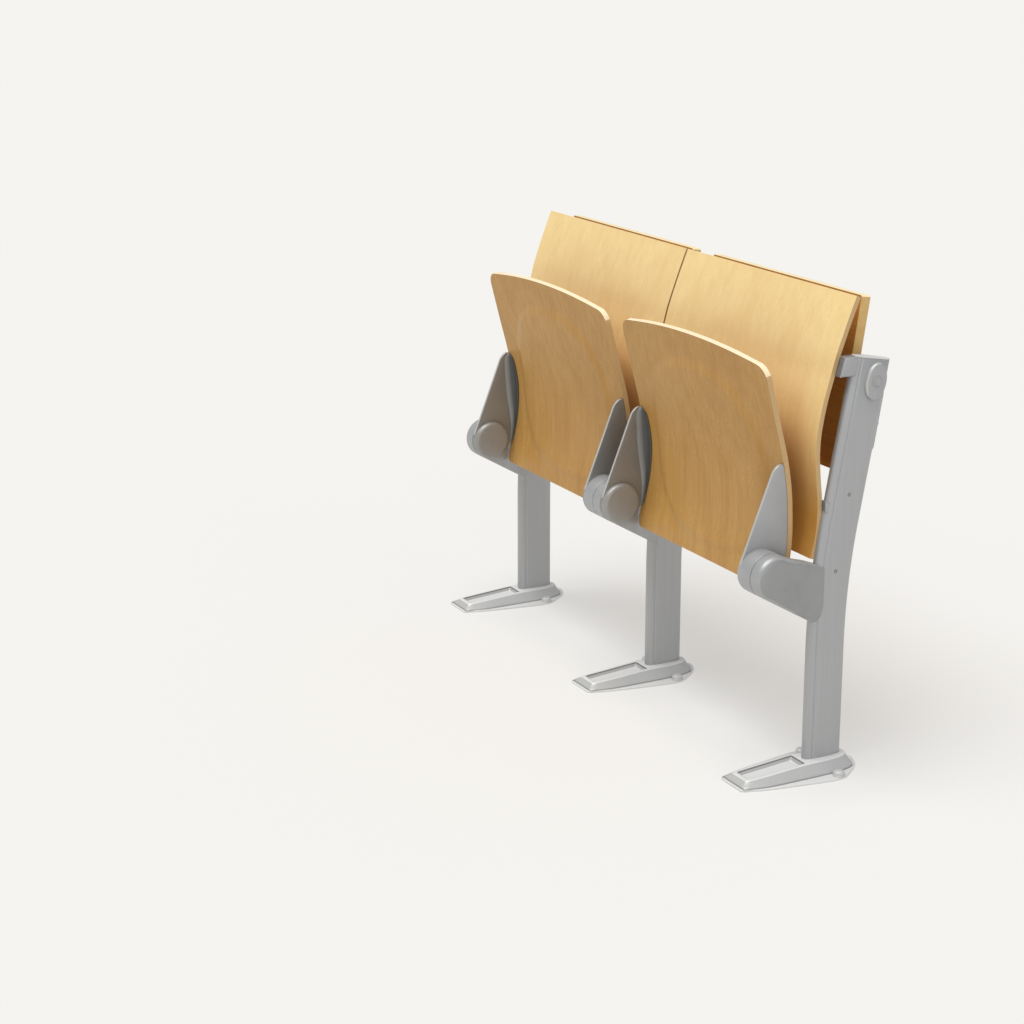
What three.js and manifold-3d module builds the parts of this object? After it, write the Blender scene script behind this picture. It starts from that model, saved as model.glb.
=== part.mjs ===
// A two-place row of tip-up auditorium seats with folding writing tablets behind the backs.
// Millimetres. +X runs along the row, the seats face -Y, and +Z is up from the floor.
// The origin is on the floor, under the centre of the middle post.
import * as THREE from 'three';
import { mergeVertices } from 'three/addons/utils/BufferGeometryUtils.js';
import Module from 'manifold-3d';

const wasm = await Module();
wasm.setup();

// The row: posts at each end and in the middle, with a place between each two
const placeWidth = 550;
const stations = [
  { side: 'left', placeShare: -1 },
  { side: 'middle', placeShare: 0 },
  { side: 'right', placeShare: 1 },
];
const places = [
  { side: 'left', placeShare: -0.5 },
  { side: 'right', placeShare: 0.5 },
];
const fit = 0.3;
const overrun = 8;

// Facets: points around a shape, or steps along each curve of an outline
const postSides = 24;
const cavitySides = 12;
const flangeSides = 36;
const bodySides = 30;
const coverSides = 24;
const pinSides = 12;
const stopSides = 10;
const wireSides = 5;
const springTurnSteps = 8;
const curveSteps = 6;
const armSteps = 8;
const armToeSteps = 4;
const armEdgeSteps = 3;
const leafCurveSteps = 8;
const leafRearSteps = 9;
const hubSteps = 12;
const springRoomSteps = 9;
const slotSteps = 5;
const tabletCornerSteps = 2;
const filletSteps = 4;
const backSteps = 24;
const seatColumns = 14;

// Posts: hollow ovals, upright to the bend and leaning above it
const postHalfWidth = 11.5;
const postHalfDepth = 39.8;
const postRoundness = 3;
const postSideWall = 3;
const postNoseWall = 9;
const postBendStart = 235;
const postBendRadius = 1322;
const postLean = 0.1787;
const postHeight = 758;
const postBendShares = [0, 0.33, 0.67, 1];
const lidThickness = 2.5;
const lidPlugDepth = 10;

// Feet: a flange on the floor and a sloping body with an open tray in front of the post
const flangeThickness = 4;
const flangeFront = 194;
const flangeRear = 70.5;
const flangeHalfWidth = 70.5;
const flangeShares = {
  front: [[0.45, 1], [0.54, 0.92], [0.67, 0.785], [0.85, 0.443], [0.985, 0.138], [1, 0.03]],
  rear: [[0.94, 0.16], [0.786, 0.394], [0.45, 0.8], [0.106, 0.99]],
};
const bodyFront = 190;
const bodyRear = 62;
const bodyHalfWidth = 48;
const bodyHeight = 18.5;
const bodyShares = {
  front: [[0.727, 1], [0.956, 0.742], [0.992, 0.405], [1, 0.18]],
  rear: [[0.97, 0.2], [0.765, 0.739], [0.433, 0.892]],
};
const rimFront = 176;
const rimRear = 50;
const rimHalfWidth = 25;
const rimFall = 8;
const rimShares = {
  front: [[0.9, 1], [1, 0.8], [1, 0.45], [1, 0.2]],
  rear: [[0.97, 0.2], [0.76, 0.74], [0.43, 0.93]],
};
const trayBehind = 9.5;
const trayRim = 7;
const trayHalfWidth = 21;
const trayFrontHalfWidth = 18.5;
const trayDepth = 6;
const trayWallSlope = 4;
const socketFloor = 2;
const anchorEdge = 0.5;
const anchorWasherRadius = 11.5;
const anchorWasherThickness = 1.2;
const anchorDomeRadius = 10.5;
const anchorDomeHeight = 9;
const anchorDomeShare = 0.45;
const anchorShankRadius = 5;
const anchorShankShare = 0.25;

// Seat hinge and arms
const hubAheadOfBack = 90.417;
const hubHeight = 388;
const hubRadius = 41;
const hubEdge = 1.5;
const hubSplit = 3;
const hubRunningGap = 0.8;
const wingGap = 31.3;
const armHalfWidth = 14;
const armEdge = 4;
const armTopFall = 0.367;
const armBottomFall = 0.529;
const armWrap = 24.5;
const armToe = 2.5;
const armToeRound = 30;
const armCrankAheadOfPost = 4;
const armCrankBehindHub = 36;
const armEndRound = 12;

// Pivot pins, bushes, stops and springs in the seat hinge
const pinRadius = 8;
const pinHeadRadius = 13;
const pinHeadThickness = 3.5;
const pinBlindWall = 4.5;
const bushWall = 2;
const bushReach = 22;
const bushFlangeRadius = 12.5;
const bushFlangeThickness = 1.5;
const seatTravel = 1.326;
const stopRadius = 4;
const stopCircle = 31;
const stopAngle = 0.66;
const stopReach = 10;
const stopClearance = 0.6;
const springRadius = 19;
const springWireRadius = 1.75;
const springTurns = 4;
const springRoom = 2.4;
const springFloor = 6;

// Seat panels, given by the underside's line from the rear edge up to the front edge
const seatGap = 0.3;
const seatThickness = 10;
const seatBehindHub = 60.5;
const seatBelowHub = 55;
const seatLength = 423;
const seatSweep = 57;
const seatLineShares = [
  [0, 0.22], [0.056, 0.185], [0.122, 0.094], [0.193, 0.022], [0.253, 0], [0.335, 0.01], [0.456, 0.077],
  [0.588, 0.25], [0.74, 0.555], [0.82, 0.712], [0.9, 0.868], [1, 1.06],
];
const seatRowShares = [
  0, 0.008, 0.022, 0.06, 0.12, 0.18, 0.24, 0.31, 0.39, 0.47, 0.55, 0.63, 0.71, 0.79, 0.87, 0.93, 0.955, 0.975,
  0.99, 1,
];
const seatCrown = 15;
const seatFrontCorner = 28;
const seatRearCorner = 10;
const seatDish = 5;
const crownStartShare = 0.6;
const dishEdgeShares = { across: [0.14, 0.7], rear: [0.08, 0.35], front: [0.1, 0.5] };

// Seat wings: leaf-shaped fins under each side of a seat
const wingPlate = 5.7;
const wingEdge = 1.2;
const wingTipRise = 189;
const wingTipWidth = 25.8;
const wingTipRound = 15;
const wingTipTurnShare = 0.4;
const wingTipSetback = 9;
const wingFootDrop = 8;
const wingHeelAngle = -0.785;
const flangeEdge = 2.6;
const flangeReach = 28;
const flangeReachShares = [
  [0, 0.35], [0.14, 0.46], [0.3, 0.68], [0.46, 0.88], [0.6, 0.99], [0.7, 1], [0.8, 0.95], [0.9, 0.84],
  [0.97, 0.66], [1, 0.45],
];
const hubCapDepth = 12.8;
const hubCapInset = 0.6;
const hubCapRound = 8;
const sprungCapRadius = 32;
const hubCapClearance = 2;
const hubCapFloor = 3.5;

// Back panels, given by the bow of the front face from a straight line between its ends.
// They start above the seat hinge, ahead of the posts' fronts, and end above the posts' tops.
const backSeam = 5;
const backThickness = 9.5;
const backBottomAhead = 8.3;
const backBottomAboveHub = 16;
const backTopAbovePost = 112.1;
const backTopForward = 33;
const backBow = 32.5;
const backBowShares = [
  [0, 0], [0.07, -0.08], [0.14, -0.03], [0.22, 0.17], [0.3, 0.5], [0.385, 0.82], [0.46, 0.98], [0.535, 1],
  [0.615, 0.94], [0.69, 0.81], [0.77, 0.68], [0.9, 0.32], [1, 0],
];
const bracketHalfSpan = 29;
const bracketPlate = 3;
const bracketEdge = 1;
const upperBracketDrop = 9;
const upperBracketHeight = 34;
const upperBracketHalfWidth = 14;
const upperBracketWrap = 5;
const lowerBracketRise = 94;
const lowerBracketHeight = 22;
const lowerBracketHalfWidth = 9;
const lowerBracketWrap = 7;

// Tablet hinge brackets on the inner sides of the posts, with places set down from the posts' tops
const kneeInner = 8;
const kneeOuter = 22;
const kneeEdge = 1.4;
const kneeTopDrop = 68;
const kneeTopBehind = 14;
const kneeTopRadius = 38;
const kneeFootDrop = 163;
const kneeFootBehind = 40;
const kneeFootRadius = 13;
const tabletPivotDrop = 123;
const tabletPivotClearance = 1;
const tabletPinRadius = 4;
const tabletPinHead = 5.7;
const tabletPinHeadThickness = 2.4;

// Writing tablets, given from their pivot: how far it lies behind and above the lower rear edge
const tabletEndInset = 37;
const tabletDepth = 315;
const tabletThickness = 20;
const tabletCorner = 4;
const tabletEdge = 1.5;
const tabletLean = 0.15;
const tabletPivotReach = 32.9;
const tabletPivotRise = 93.1;
const tabletTravel = 1.42;
const earGap = 0.6;
const earThickness = 9;
const earRadius = 10;
const earRootHalf = 26;
const earEdge = 1.4;
const earPlateThickness = 4;
const earPlateLength = 44;
const earPlateHalfHeight = 29;
const tabletStopRadius = 3;
const tabletStopCircle = 13;
const tabletStopAngle = 2.9;
const tabletStopReach = 7;

// Oval covers on the outer sides of the end posts
const ovalDrop = 40.5;
const ovalBehind = 11.5;
const ovalHalfWidth = 22;
const ovalHalfHeight = 34;
const ovalInner = 6;
const ovalProud = 6.5;
const ovalEdge = 3.5;
const bossEdge = 0.7;
const bossRadius = 10.5;
const bossProud = 1.6;

// Worked out from the sizes above
const hubZ = hubHeight;
const hubFace = wingGap - fit;
const bendHeight = postBendRadius * Math.sin(postLean);
const footTop = flangeThickness + bodyHeight;
const anchorX = flangeHalfWidth - anchorWasherRadius - anchorEdge;
const seatHalfWidth = placeWidth / 2 - wingGap - seatGap;
const pivotBore = pinRadius + fit + bushWall + fit;
const backBottomZ = hubZ + backBottomAboveHub;
const backBottomY = postFrontAt(backBottomZ) - backBottomAhead;
const hubY = backBottomY - hubAheadOfBack;

const finishes = {
  cast: new THREE.MeshStandardMaterial({ color: 0xa3a5a6, roughness: 0.42, metalness: 0.7 }),
  extrusion: new THREE.MeshStandardMaterial({ color: 0xa9abac, roughness: 0.36, metalness: 0.75 }),
  steel: new THREE.MeshStandardMaterial({ color: 0x8d9092, roughness: 0.3, metalness: 0.95 }),
  nylon: new THREE.MeshStandardMaterial({ color: 0x9c9e9f, roughness: 0.6, metalness: 0 }),
  beech: new THREE.MeshStandardMaterial({ color: 0xe3c88c, roughness: 0.45, metalness: 0 }),
  board: new THREE.MeshStandardMaterial({ color: 0xc9a468, roughness: 0.5, metalness: 0 }),
};

const row = new THREE.Group();

function add(name, geometry, material, parent) {
  const mesh = new THREE.Mesh(geometry, material);
  mesh.name = name;
  parent.add(mesh);
  return mesh;
}

function groupAt(x, y, z, parent) {
  const group = new THREE.Group();
  group.position.set(x, y, z);
  parent.add(group);
  return group;
}

// Welds a closed geometry, drops collapsed faces and turns its faces outwards
function welded(geometry) {
  const bare = geometry.clone();
  bare.deleteAttribute('normal');
  bare.deleteAttribute('uv');
  const shell = mergeVertices(bare);
  const corners = [new THREE.Vector3(), new THREE.Vector3(), new THREE.Vector3()];
  const faces = [];
  let volume = 0;
  for (let i = 0; i < shell.index.count; i += 3) {
    const face = [0, 1, 2].map((k) => shell.index.getX(i + k));
    if (new Set(face).size === 3) {
      face.forEach((vertex, k) => corners[k].fromBufferAttribute(shell.attributes.position, vertex));
      volume += corners[0].dot(corners[1].clone().cross(corners[2]));
      faces.push(face);
    }
  }
  const order = volume > 0 ? [0, 1, 2] : [0, 2, 1];
  shell.setIndex(faces.flatMap((face) => order.map((k) => face[k])));
  return shell;
}

function solidOf(geometry) {
  const shell = welded(geometry);
  return new wasm.Manifold(new wasm.Mesh({
    numProp: 3,
    vertProperties: Float32Array.from(shell.attributes.position.array),
    triVerts: Uint32Array.from(shell.index.array),
  }));
}

function geometryOf(solid) {
  const mesh = solid.getMesh();
  const geometry = new THREE.BufferGeometry();
  geometry.setAttribute('position', new THREE.BufferAttribute(mesh.vertProperties, 3));
  geometry.setIndex(new THREE.BufferAttribute(mesh.triVerts, 1));
  return geometry;
}

function shaped(base, { kept = [], joined = [], removed = [] }) {
  let solid = solidOf(base);
  kept.forEach((piece) => { solid = solid.intersect(solidOf(piece)); });
  joined.forEach((piece) => { solid = solid.add(solidOf(piece)); });
  removed.forEach((piece) => { solid = solid.subtract(solidOf(piece)); });
  return geometryOf(solid);
}

const mirrored = (geometry) => welded(geometry.clone().scale(-1, 1, 1));

// Extrudes an outline drawn in the Y-Z plane along X, with rounded edges if asked
const outlineToX = new THREE.Matrix4().makeBasis(
  new THREE.Vector3(0, 1, 0),
  new THREE.Vector3(0, 0, 1),
  new THREE.Vector3(1, 0, 0),
);

function extrudeX(outline, from, to, edge = 0, curveSegments = curveSteps, bevelSegments = 1) {
  const geometry = new THREE.ExtrudeGeometry(outline, {
    depth: to - from - 2 * edge,
    curveSegments,
    bevelEnabled: edge > 0,
    bevelThickness: edge,
    bevelSize: edge,
    bevelOffset: -edge,
    bevelSegments,
  });
  return geometry.applyMatrix4(outlineToX).translate(from + edge, 0, 0);
}

function rodX(radius, from, to, y, z, sides = pinSides) {
  const rod = new THREE.CylinderGeometry(radius, radius, to - from, sides).rotateZ(-Math.PI / 2);
  return rod.translate((from + to) / 2, y, z);
}

// Turns a profile of [radius, distance] points about the X axis, or about Z
function turnedX(profile, sides) {
  const points = profile.map(([radius, along]) => new THREE.Vector2(radius, along));
  return new THREE.LatheGeometry(points, sides).rotateZ(-Math.PI / 2);
}

function turnedZ(profile, sides) {
  const points = profile.map(([radius, along]) => new THREE.Vector2(radius, along));
  return new THREE.LatheGeometry(points, sides).rotateX(Math.PI / 2);
}

// Joins outlines of equally many points, one above the other, into a closed solid
function loft(outlines, place) {
  const count = outlines[0].length;
  const last = outlines.length - 1;
  const points = outlines.flatMap((outline, level) => outline.map((point) => place(point, level)));
  const faces = [];
  for (let level = 0; level < last; level += 1) {
    for (let i = 0; i < count; i += 1) {
      const a = level * count + i;
      const b = level * count + ((i + 1) % count);
      faces.push(a, b, b + count, a, b + count, a + count);
    }
  }
  const lowCap = THREE.ShapeUtils.triangulateShape(outlines[0], []);
  const highCap = THREE.ShapeUtils.triangulateShape(outlines[last], []);
  lowCap.forEach(([a, b, c]) => faces.push(a, c, b));
  highCap.forEach((face) => faces.push(...face.map((i) => i + last * count)));
  const geometry = new THREE.BufferGeometry().setFromPoints(points);
  geometry.setIndex(faces);
  return geometry;
}

function prismZ(outline, low, high) {
  const levels = [low, high];
  return loft([outline, outline], (point, level) => new THREE.Vector3(point.x, point.y, levels[level]));
}

function oval(halfWidth, halfDepth, count, roundness = 2) {
  return Array.from({ length: count }, (_, i) => {
    const turn = (2 * Math.PI * i) / count;
    const pull = (part) => Math.sign(part) * Math.abs(part) ** (2 / roundness);
    return new THREE.Vector2(halfWidth * pull(Math.cos(turn)), halfDepth * pull(Math.sin(turn)));
  });
}

const disc = (y, z, radius) => new THREE.Shape().absarc(y, z, radius, 0, 2 * Math.PI, false);

function ring(y, z, inner, outer) {
  const outline = disc(y, z, outer);
  outline.holes.push(new THREE.Path().absarc(y, z, inner, 0, 2 * Math.PI, true));
  return outline;
}

// An arc slot about a centre in the Y-Z plane
function arcSlot(y, z, circle, halfWidth, from, to) {
  const end = Math.asin((halfWidth + fit) / circle);
  const outline = new THREE.Shape();
  outline.absarc(y, z, circle + halfWidth, from - end, to + end, false);
  outline.absarc(y, z, circle - halfWidth, to + end, from - end, true);
  outline.closePath();
  return outline;
}

// Points of a line in the Y-Z plane at shares of its length, moved to its right by an offset
function offsetLine(line, offset, shares) {
  return shares.map((share) => {
    const tangent = line.getTangentAt(share);
    const point = line.getPointAt(share);
    return new THREE.Vector2(point.x + tangent.y * offset, point.y - tangent.x * offset);
  });
}

function band(line, near, far, shares) {
  return new THREE.Shape([...offsetLine(line, far, shares), ...offsetLine(line, near, shares).reverse()]);
}

// The Y of a line of points at a height
function yAt(points, z) {
  const above = points.findIndex((point, i) => i > 0 && (point.y > z || i === points.length - 1));
  const [low, high] = [points[above - 1], points[above]];
  return THREE.MathUtils.mapLinear(z, low.y, high.y, low.x, high.x);
}

// Posts
function postY(z) {
  const rise = THREE.MathUtils.clamp(z - postBendStart, 0, bendHeight);
  const bent = postBendRadius - Math.sqrt(postBendRadius ** 2 - rise ** 2);
  return bent + Math.max(z - postBendStart - bendHeight, 0) * Math.tan(postLean);
}

function postTilt(z) {
  return Math.asin(THREE.MathUtils.clamp(z - postBendStart, 0, bendHeight) / postBendRadius);
}

function postFrontAt(z) {
  return postY(z) - postHalfDepth / Math.cos(postTilt(z));
}

function postRearAt(z) {
  return postY(z) + postHalfDepth / Math.cos(postTilt(z));
}

function postLoft(halfWidth, halfDepth, low, high, sides) {
  const bends = postBendShares.map((share) => postBendStart + bendHeight * share);
  const heights = [low, ...bends.filter((z) => z > low && z < high), high];
  const section = oval(halfWidth, halfDepth, sides, postRoundness);
  return loft(heights.map(() => section), (point, level) => {
    const z = heights[level];
    const tilt = postTilt(z);
    return new THREE.Vector3(point.x, postY(z) + point.y * Math.cos(tilt), z - point.y * Math.sin(tilt));
  });
}

const postRoom = postLoft(postHalfWidth + fit, postHalfDepth + fit, overrun, postHeight + overrun, postSides);
const cavityHalfWidth = postHalfWidth - postSideWall;
const cavityHalfDepth = postHalfDepth - postNoseWall;

function post() {
  const foot = flangeThickness + socketFloor + fit;
  const cavity = postLoft(cavityHalfWidth, cavityHalfDepth, 0, postHeight + overrun, cavitySides);
  return shaped(postLoft(postHalfWidth, postHalfDepth, foot, postHeight, postSides), {
    removed: [cavity, backRoom],
  });
}

// A thin flat lid on each post, with a plug in the post's cavity
function postCap() {
  const lid = oval(postHalfWidth, postHalfDepth, postSides, postRoundness);
  const plug = oval(cavityHalfWidth - fit, cavityHalfDepth - fit, cavitySides, postRoundness);
  return shaped(prismZ(lid, fit, fit + lidThickness), {
    joined: [prismZ(plug, -lidPlugDepth, fit + lidThickness / 2)],
  });
}

// Feet
function footOutline({ front, rear }, halfWidth, frontReach, rearReach, count) {
  const ahead = front.map(([wide, far]) => new THREE.Vector2(wide * halfWidth, -far * frontReach));
  const behind = rear.map(([wide, far]) => new THREE.Vector2(wide * halfWidth, far * rearReach));
  const half = [...ahead, ...behind];
  const other = half.map((point) => new THREE.Vector2(-point.x, point.y)).reverse();
  return new THREE.SplineCurve([...half, new THREE.Vector2(0, rearReach), ...other]).getSpacedPoints(count);
}

function footBody() {
  const low = footOutline(bodyShares, bodyHalfWidth, bodyFront, bodyRear, bodySides);
  const high = footOutline(rimShares, rimHalfWidth, rimFront, rimRear, bodySides);
  const levels = [flangeThickness / 2, footTop];
  return loft([low, high], (point, level) => new THREE.Vector3(point.x, point.y, levels[level]));
}

// How far the body's top has fallen at a place in front of the post
function rimDrop(y) {
  const fallStart = postHalfDepth + trayBehind;
  return (rimFall * Math.max(-fallStart - y, 0)) / (rimFront - fallStart);
}

function footTopCut() {
  const start = -postHalfDepth - trayBehind;
  const end = -bodyFront - overrun;
  const outline = new THREE.Shape([
    new THREE.Vector2(start, footTop), new THREE.Vector2(end, footTop - rimDrop(end)),
    new THREE.Vector2(end, footTop + overrun), new THREE.Vector2(start, footTop + overrun),
  ]);
  return extrudeX(outline, -bodyHalfWidth, bodyHalfWidth);
}

function footTray() {
  const rear = -postHalfDepth - trayBehind;
  const front = trayRim - rimFront;
  const slant = trayWallSlope / trayDepth;
  const levels = [
    { inset: trayWallSlope, lift: -trayDepth },
    { inset: -slant * overrun, lift: overrun },
  ];
  const corners = levels.map(({ inset }) => [
    new THREE.Vector2(trayFrontHalfWidth - inset, front + inset),
    new THREE.Vector2(trayHalfWidth - inset, rear - inset),
    new THREE.Vector2(inset - trayHalfWidth, rear - inset),
    new THREE.Vector2(inset - trayFrontHalfWidth, front + inset),
  ]);
  return loft(corners, (point, level) => (
    new THREE.Vector3(point.x, point.y, footTop - rimDrop(point.y) + levels[level].lift)
  ));
}

function anchorRoom() {
  return turnedZ([
    [0, -overrun], [anchorShankRadius + fit, -overrun], [anchorShankRadius + fit, flangeThickness],
    [anchorWasherRadius + fit, flangeThickness], [anchorWasherRadius + fit, footTop + overrun],
    [0, footTop + overrun],
  ], pinSides);
}

function foot() {
  const outline = footOutline(flangeShares, flangeHalfWidth, flangeFront, flangeRear, flangeSides);
  const socket = oval(postHalfWidth + fit, postHalfDepth + fit, postSides, postRoundness);
  return shaped(prismZ(outline, 0, flangeThickness), {
    joined: [footBody()],
    removed: [
      footTopCut(),
      footTray(),
      prismZ(socket, flangeThickness + socketFloor, footTop + overrun),
      anchorRoom().translate(anchorX, 0, 0),
      anchorRoom().translate(-anchorX, 0, 0),
    ],
  });
}

function anchorBolt() {
  const seat = flangeThickness + fit;
  const shankEnd = flangeThickness * anchorShankShare;
  const washerTop = seat + anchorWasherThickness;
  const domeStart = washerTop + anchorDomeHeight * anchorDomeShare;
  const domeRise = anchorDomeHeight * (1 - anchorDomeShare);
  const domeShares = [0, 0.5];
  return turnedZ([
    [0, shankEnd], [anchorShankRadius, shankEnd], [anchorShankRadius, seat],
    [anchorWasherRadius, seat], [anchorWasherRadius, washerTop], [anchorDomeRadius, washerTop],
    ...domeShares.map((share) => [
      anchorDomeRadius * Math.cos((share * Math.PI) / 2),
      domeStart + domeRise * Math.sin((share * Math.PI) / 2),
    ]),
    [0, domeStart + domeRise],
  ], pinSides);
}

// Back panels
const backShares = Array.from({ length: backSteps + 1 }, (_, i) => i / backSteps);
const backRise = postHeight + backTopAbovePost - backBottomZ;
const backRun = postY(postHeight) - backTopForward - backBottomY;
const backChord = new THREE.Vector2(backRun, backRise).normalize();
const backLine = new THREE.SplineCurve(backBowShares.map(([along, bow]) => new THREE.Vector2(
  backBottomY + backRun * along - backChord.y * backBow * bow,
  backBottomZ + backRise * along + backChord.x * backBow * bow,
)));
const backRoom = extrudeX(
  band(backLine, -overrun, backThickness + fit, backShares),
  -placeWidth,
  placeWidth,
);

function backPanel() {
  const half = (placeWidth - backSeam) / 2;
  return extrudeX(band(backLine, 0, backThickness, backShares), -half, half);
}

// Brackets that carry the backs: a saddle on the post's front and a plate behind the panels it joins
function backBracket({ z, height, halfWidth, wrap }, hasNext, hasBefore) {
  const up = new THREE.Vector2(Math.sin(postLean), Math.cos(postLean)).multiplyScalar(height / 2);
  const behind = new THREE.Vector2(Math.cos(postLean), -Math.sin(postLean));
  const nose = new THREE.Vector2(postFrontAt(z), z);
  const corner = (reach, side) => nose.clone().addScaledVector(behind, reach).addScaledVector(up, side);
  const block = (from, to) => new THREE.Shape([
    corner(from, -1), corner(to, -1), corner(to, 1), corner(from, 1),
  ]);
  const plate = shaped(
    extrudeX(
      band(backLine, backThickness + fit, backThickness + fit + bracketPlate, backShares),
      hasBefore ? -bracketHalfSpan : -halfWidth,
      hasNext ? bracketHalfSpan : halfWidth,
    ),
    { kept: [extrudeX(block(-placeWidth, placeWidth), -placeWidth, placeWidth)] },
  );
  const reach = postFrontAt(z) - yAt(offsetLine(backLine, backThickness, backShares), z);
  const saddle = block(-reach - overrun, wrap);
  return shaped(extrudeX(saddle, -halfWidth, halfWidth, bracketEdge), {
    joined: [plate],
    removed: [postRoom, backRoom],
  });
}

// Seat arms: a beam from the post's nose, cranked sideways, to a round hub beside the next seat.
// The seat before it turns in the room left beside the hub, against a stop.
function armShift(y) {
  const from = hubY + armCrankBehindHub;
  const to = -postHalfDepth - armCrankAheadOfPost;
  return ((hubSplit + hubFace) / 2) * (1 - THREE.MathUtils.smoothstep(y, from, to));
}

// Lines across the beam, from its lower edge to its upper edge, along it from the hub to its rear
function armSections() {
  const { lerp } = THREE.MathUtils;
  const topNormal = new THREE.Vector2(Math.sin(armTopFall), Math.cos(armTopFall));
  const lowNormal = new THREE.Vector2(-Math.sin(armBottomFall), -Math.cos(armBottomFall));
  const top = new THREE.Vector2(hubY, hubZ).addScaledVector(topNormal, hubRadius);
  const low = new THREE.Vector2(hubY, hubZ).addScaledVector(lowNormal, hubRadius);
  const topAt = (y) => new THREE.Vector2(y, top.y - (y - top.x) * Math.tan(armTopFall));
  const lowAt = (y) => new THREE.Vector2(y, low.y - (y - low.x) * Math.tan(armBottomFall));
  const rear = armWrap - postHalfDepth;
  const toe = lowAt(armToe - postHalfDepth);
  const toeCurve = new THREE.QuadraticBezierCurve(
    toe, new THREE.Vector2(rear, toe.y), new THREE.Vector2(rear, toe.y + armToeRound),
  );
  const beam = Array.from({ length: armSteps + 1 }, (_, i) => i / armSteps).map((along) => ({
    along, low: lowAt(lerp(low.x, toe.x, along)), top: topAt(lerp(top.x, toe.x, along)),
  }));
  const heel = Array.from({ length: armToeSteps }, (_, i) => (i + 1) / armToeSteps).map((share) => ({
    along: 1, low: toeCurve.getPoint(share), top: topAt(lerp(toe.x, rear, share)),
  }));
  return [...beam, ...heel];
}

const quarter = Math.PI / 2;
const armEdgeTurns = Array.from({ length: armEdgeSteps + 1 }, (_, i) => (quarter * i) / armEdgeSteps);

function armBeam(hubRound) {
  const sections = armSections();
  const outlines = sections.map(({ along, low, top }) => {
    const edge = THREE.MathUtils.lerp(hubRound, armEdge, along);
    const wide = armHalfWidth - edge;
    const high = top.distanceTo(low) - edge;
    const corners = [[wide, edge], [wide, high], [-wide, high], [-wide, edge]];
    return corners.flatMap(([x, y], i) => armEdgeTurns.map((turn) => new THREE.Vector2(
      x + edge * Math.cos(turn + quarter * (i - 1)),
      y + edge * Math.sin(turn + quarter * (i - 1)),
    )));
  });
  return loft(outlines, (point, level) => {
    const { low, top } = sections[level];
    const place = low.clone().lerp(top, point.y / top.distanceTo(low));
    return new THREE.Vector3(point.x + armShift(place.x), place.x, place.y);
  });
}

const stopY = hubY + stopCircle * Math.cos(stopAngle);
const stopZ = hubZ + stopCircle * Math.sin(stopAngle);

function arm(hasNext, hasBefore) {
  const hubRound = hasNext ? hubEdge : armEndRound;
  const hub = turnedX([
    [0, hubSplit], [hubRadius - hubEdge, hubSplit], [hubRadius, hubSplit + hubEdge],
    ...armEdgeTurns.map((turn) => [
      hubRadius - hubRound * (1 - Math.cos(turn)),
      hubFace - hubRound * (1 - Math.sin(turn)),
    ]),
    [0, hubFace],
  ], 2 * hubSteps).translate(0, hubY, hubZ);
  const boreFrom = hasBefore ? 0 : hubSplit + pinBlindWall;
  const boreTo = hasNext ? hubFace + overrun : hubFace - pinBlindWall;
  const room = rodX(hubRadius + hubRunningGap, -2 * armHalfWidth, hubSplit, hubY, hubZ, 2 * hubSteps);
  const casting = shaped(armBeam(hubRound), {
    joined: [hub],
    removed: [postRoom, room, rodX(pinRadius + fit, boreFrom, boreTo, hubY, hubZ)],
  });
  const stop = rodX(stopRadius, hubSplit - stopReach, hubSplit + stopRadius, stopY, stopZ, stopSides);
  return hasBefore ? shaped(casting, { joined: [stop] }) : casting;
}

// Pivot pins: through the arm's hub and headed inside each seat that they carry
function pivotPin(hasNext, hasBefore) {
  const headFace = wingGap + wingPlate + fit + bushFlangeThickness + fit;
  const headEnd = headFace + pinHeadThickness;
  const head = [
    [pinRadius, headFace], [pinHeadRadius, headFace], [pinHeadRadius, headEnd], [0, headEnd],
  ];
  const mirroredHead = head.map(([radius, along]) => [radius, -along]).reverse();
  const blindEnd = hubFace - pinBlindWall - fit;
  const blindStart = hubSplit + pinBlindWall + fit;
  return turnedX([
    ...(hasBefore ? mirroredHead : [[0, blindStart], [pinRadius, blindStart]]),
    ...(hasNext ? head : [[pinRadius, blindEnd], [0, blindEnd]]),
  ], pinSides).translate(0, hubY, hubZ);
}

// A torsion spring coiled about the pivot pin, in the hub of the wing before each post
function torsionSpring() {
  const from = springFloor + springWireRadius + fit - wingGap;
  const to = hubSplit - springWireRadius - fit;
  const steps = springTurns * springTurnSteps;
  const points = Array.from({ length: steps + 1 }, (_, i) => {
    const turn = (2 * Math.PI * i) / springTurnSteps;
    return new THREE.Vector3(
      THREE.MathUtils.lerp(from, to, i / steps),
      hubY + springRadius * Math.cos(turn),
      hubZ + springRadius * Math.sin(turn),
    );
  });
  const wire = new THREE.Shape(oval(springWireRadius, springWireRadius, wireSides));
  return new THREE.ExtrudeGeometry(wire, {
    steps,
    bevelEnabled: false,
    extrudePath: new THREE.CatmullRomCurve3(points),
  });
}

// Seat panels
const seatUnderY = hubY + seatBehindHub;
const seatRearZ = hubZ - seatBelowHub;
const seatLine = new THREE.SplineCurve(seatLineShares.map(([rise, sweep]) => (
  new THREE.Vector2(seatUnderY - seatSweep * sweep, seatRearZ + seatLength * rise)
)));
const seatUnder = offsetLine(seatLine, 0, seatRowShares);

// How far a round corner draws the side in, at a distance from the end
function drawnIn(distance, corner) {
  const depth = Math.max(corner - distance, 0);
  return corner - Math.sqrt(corner ** 2 - depth ** 2);
}

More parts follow.
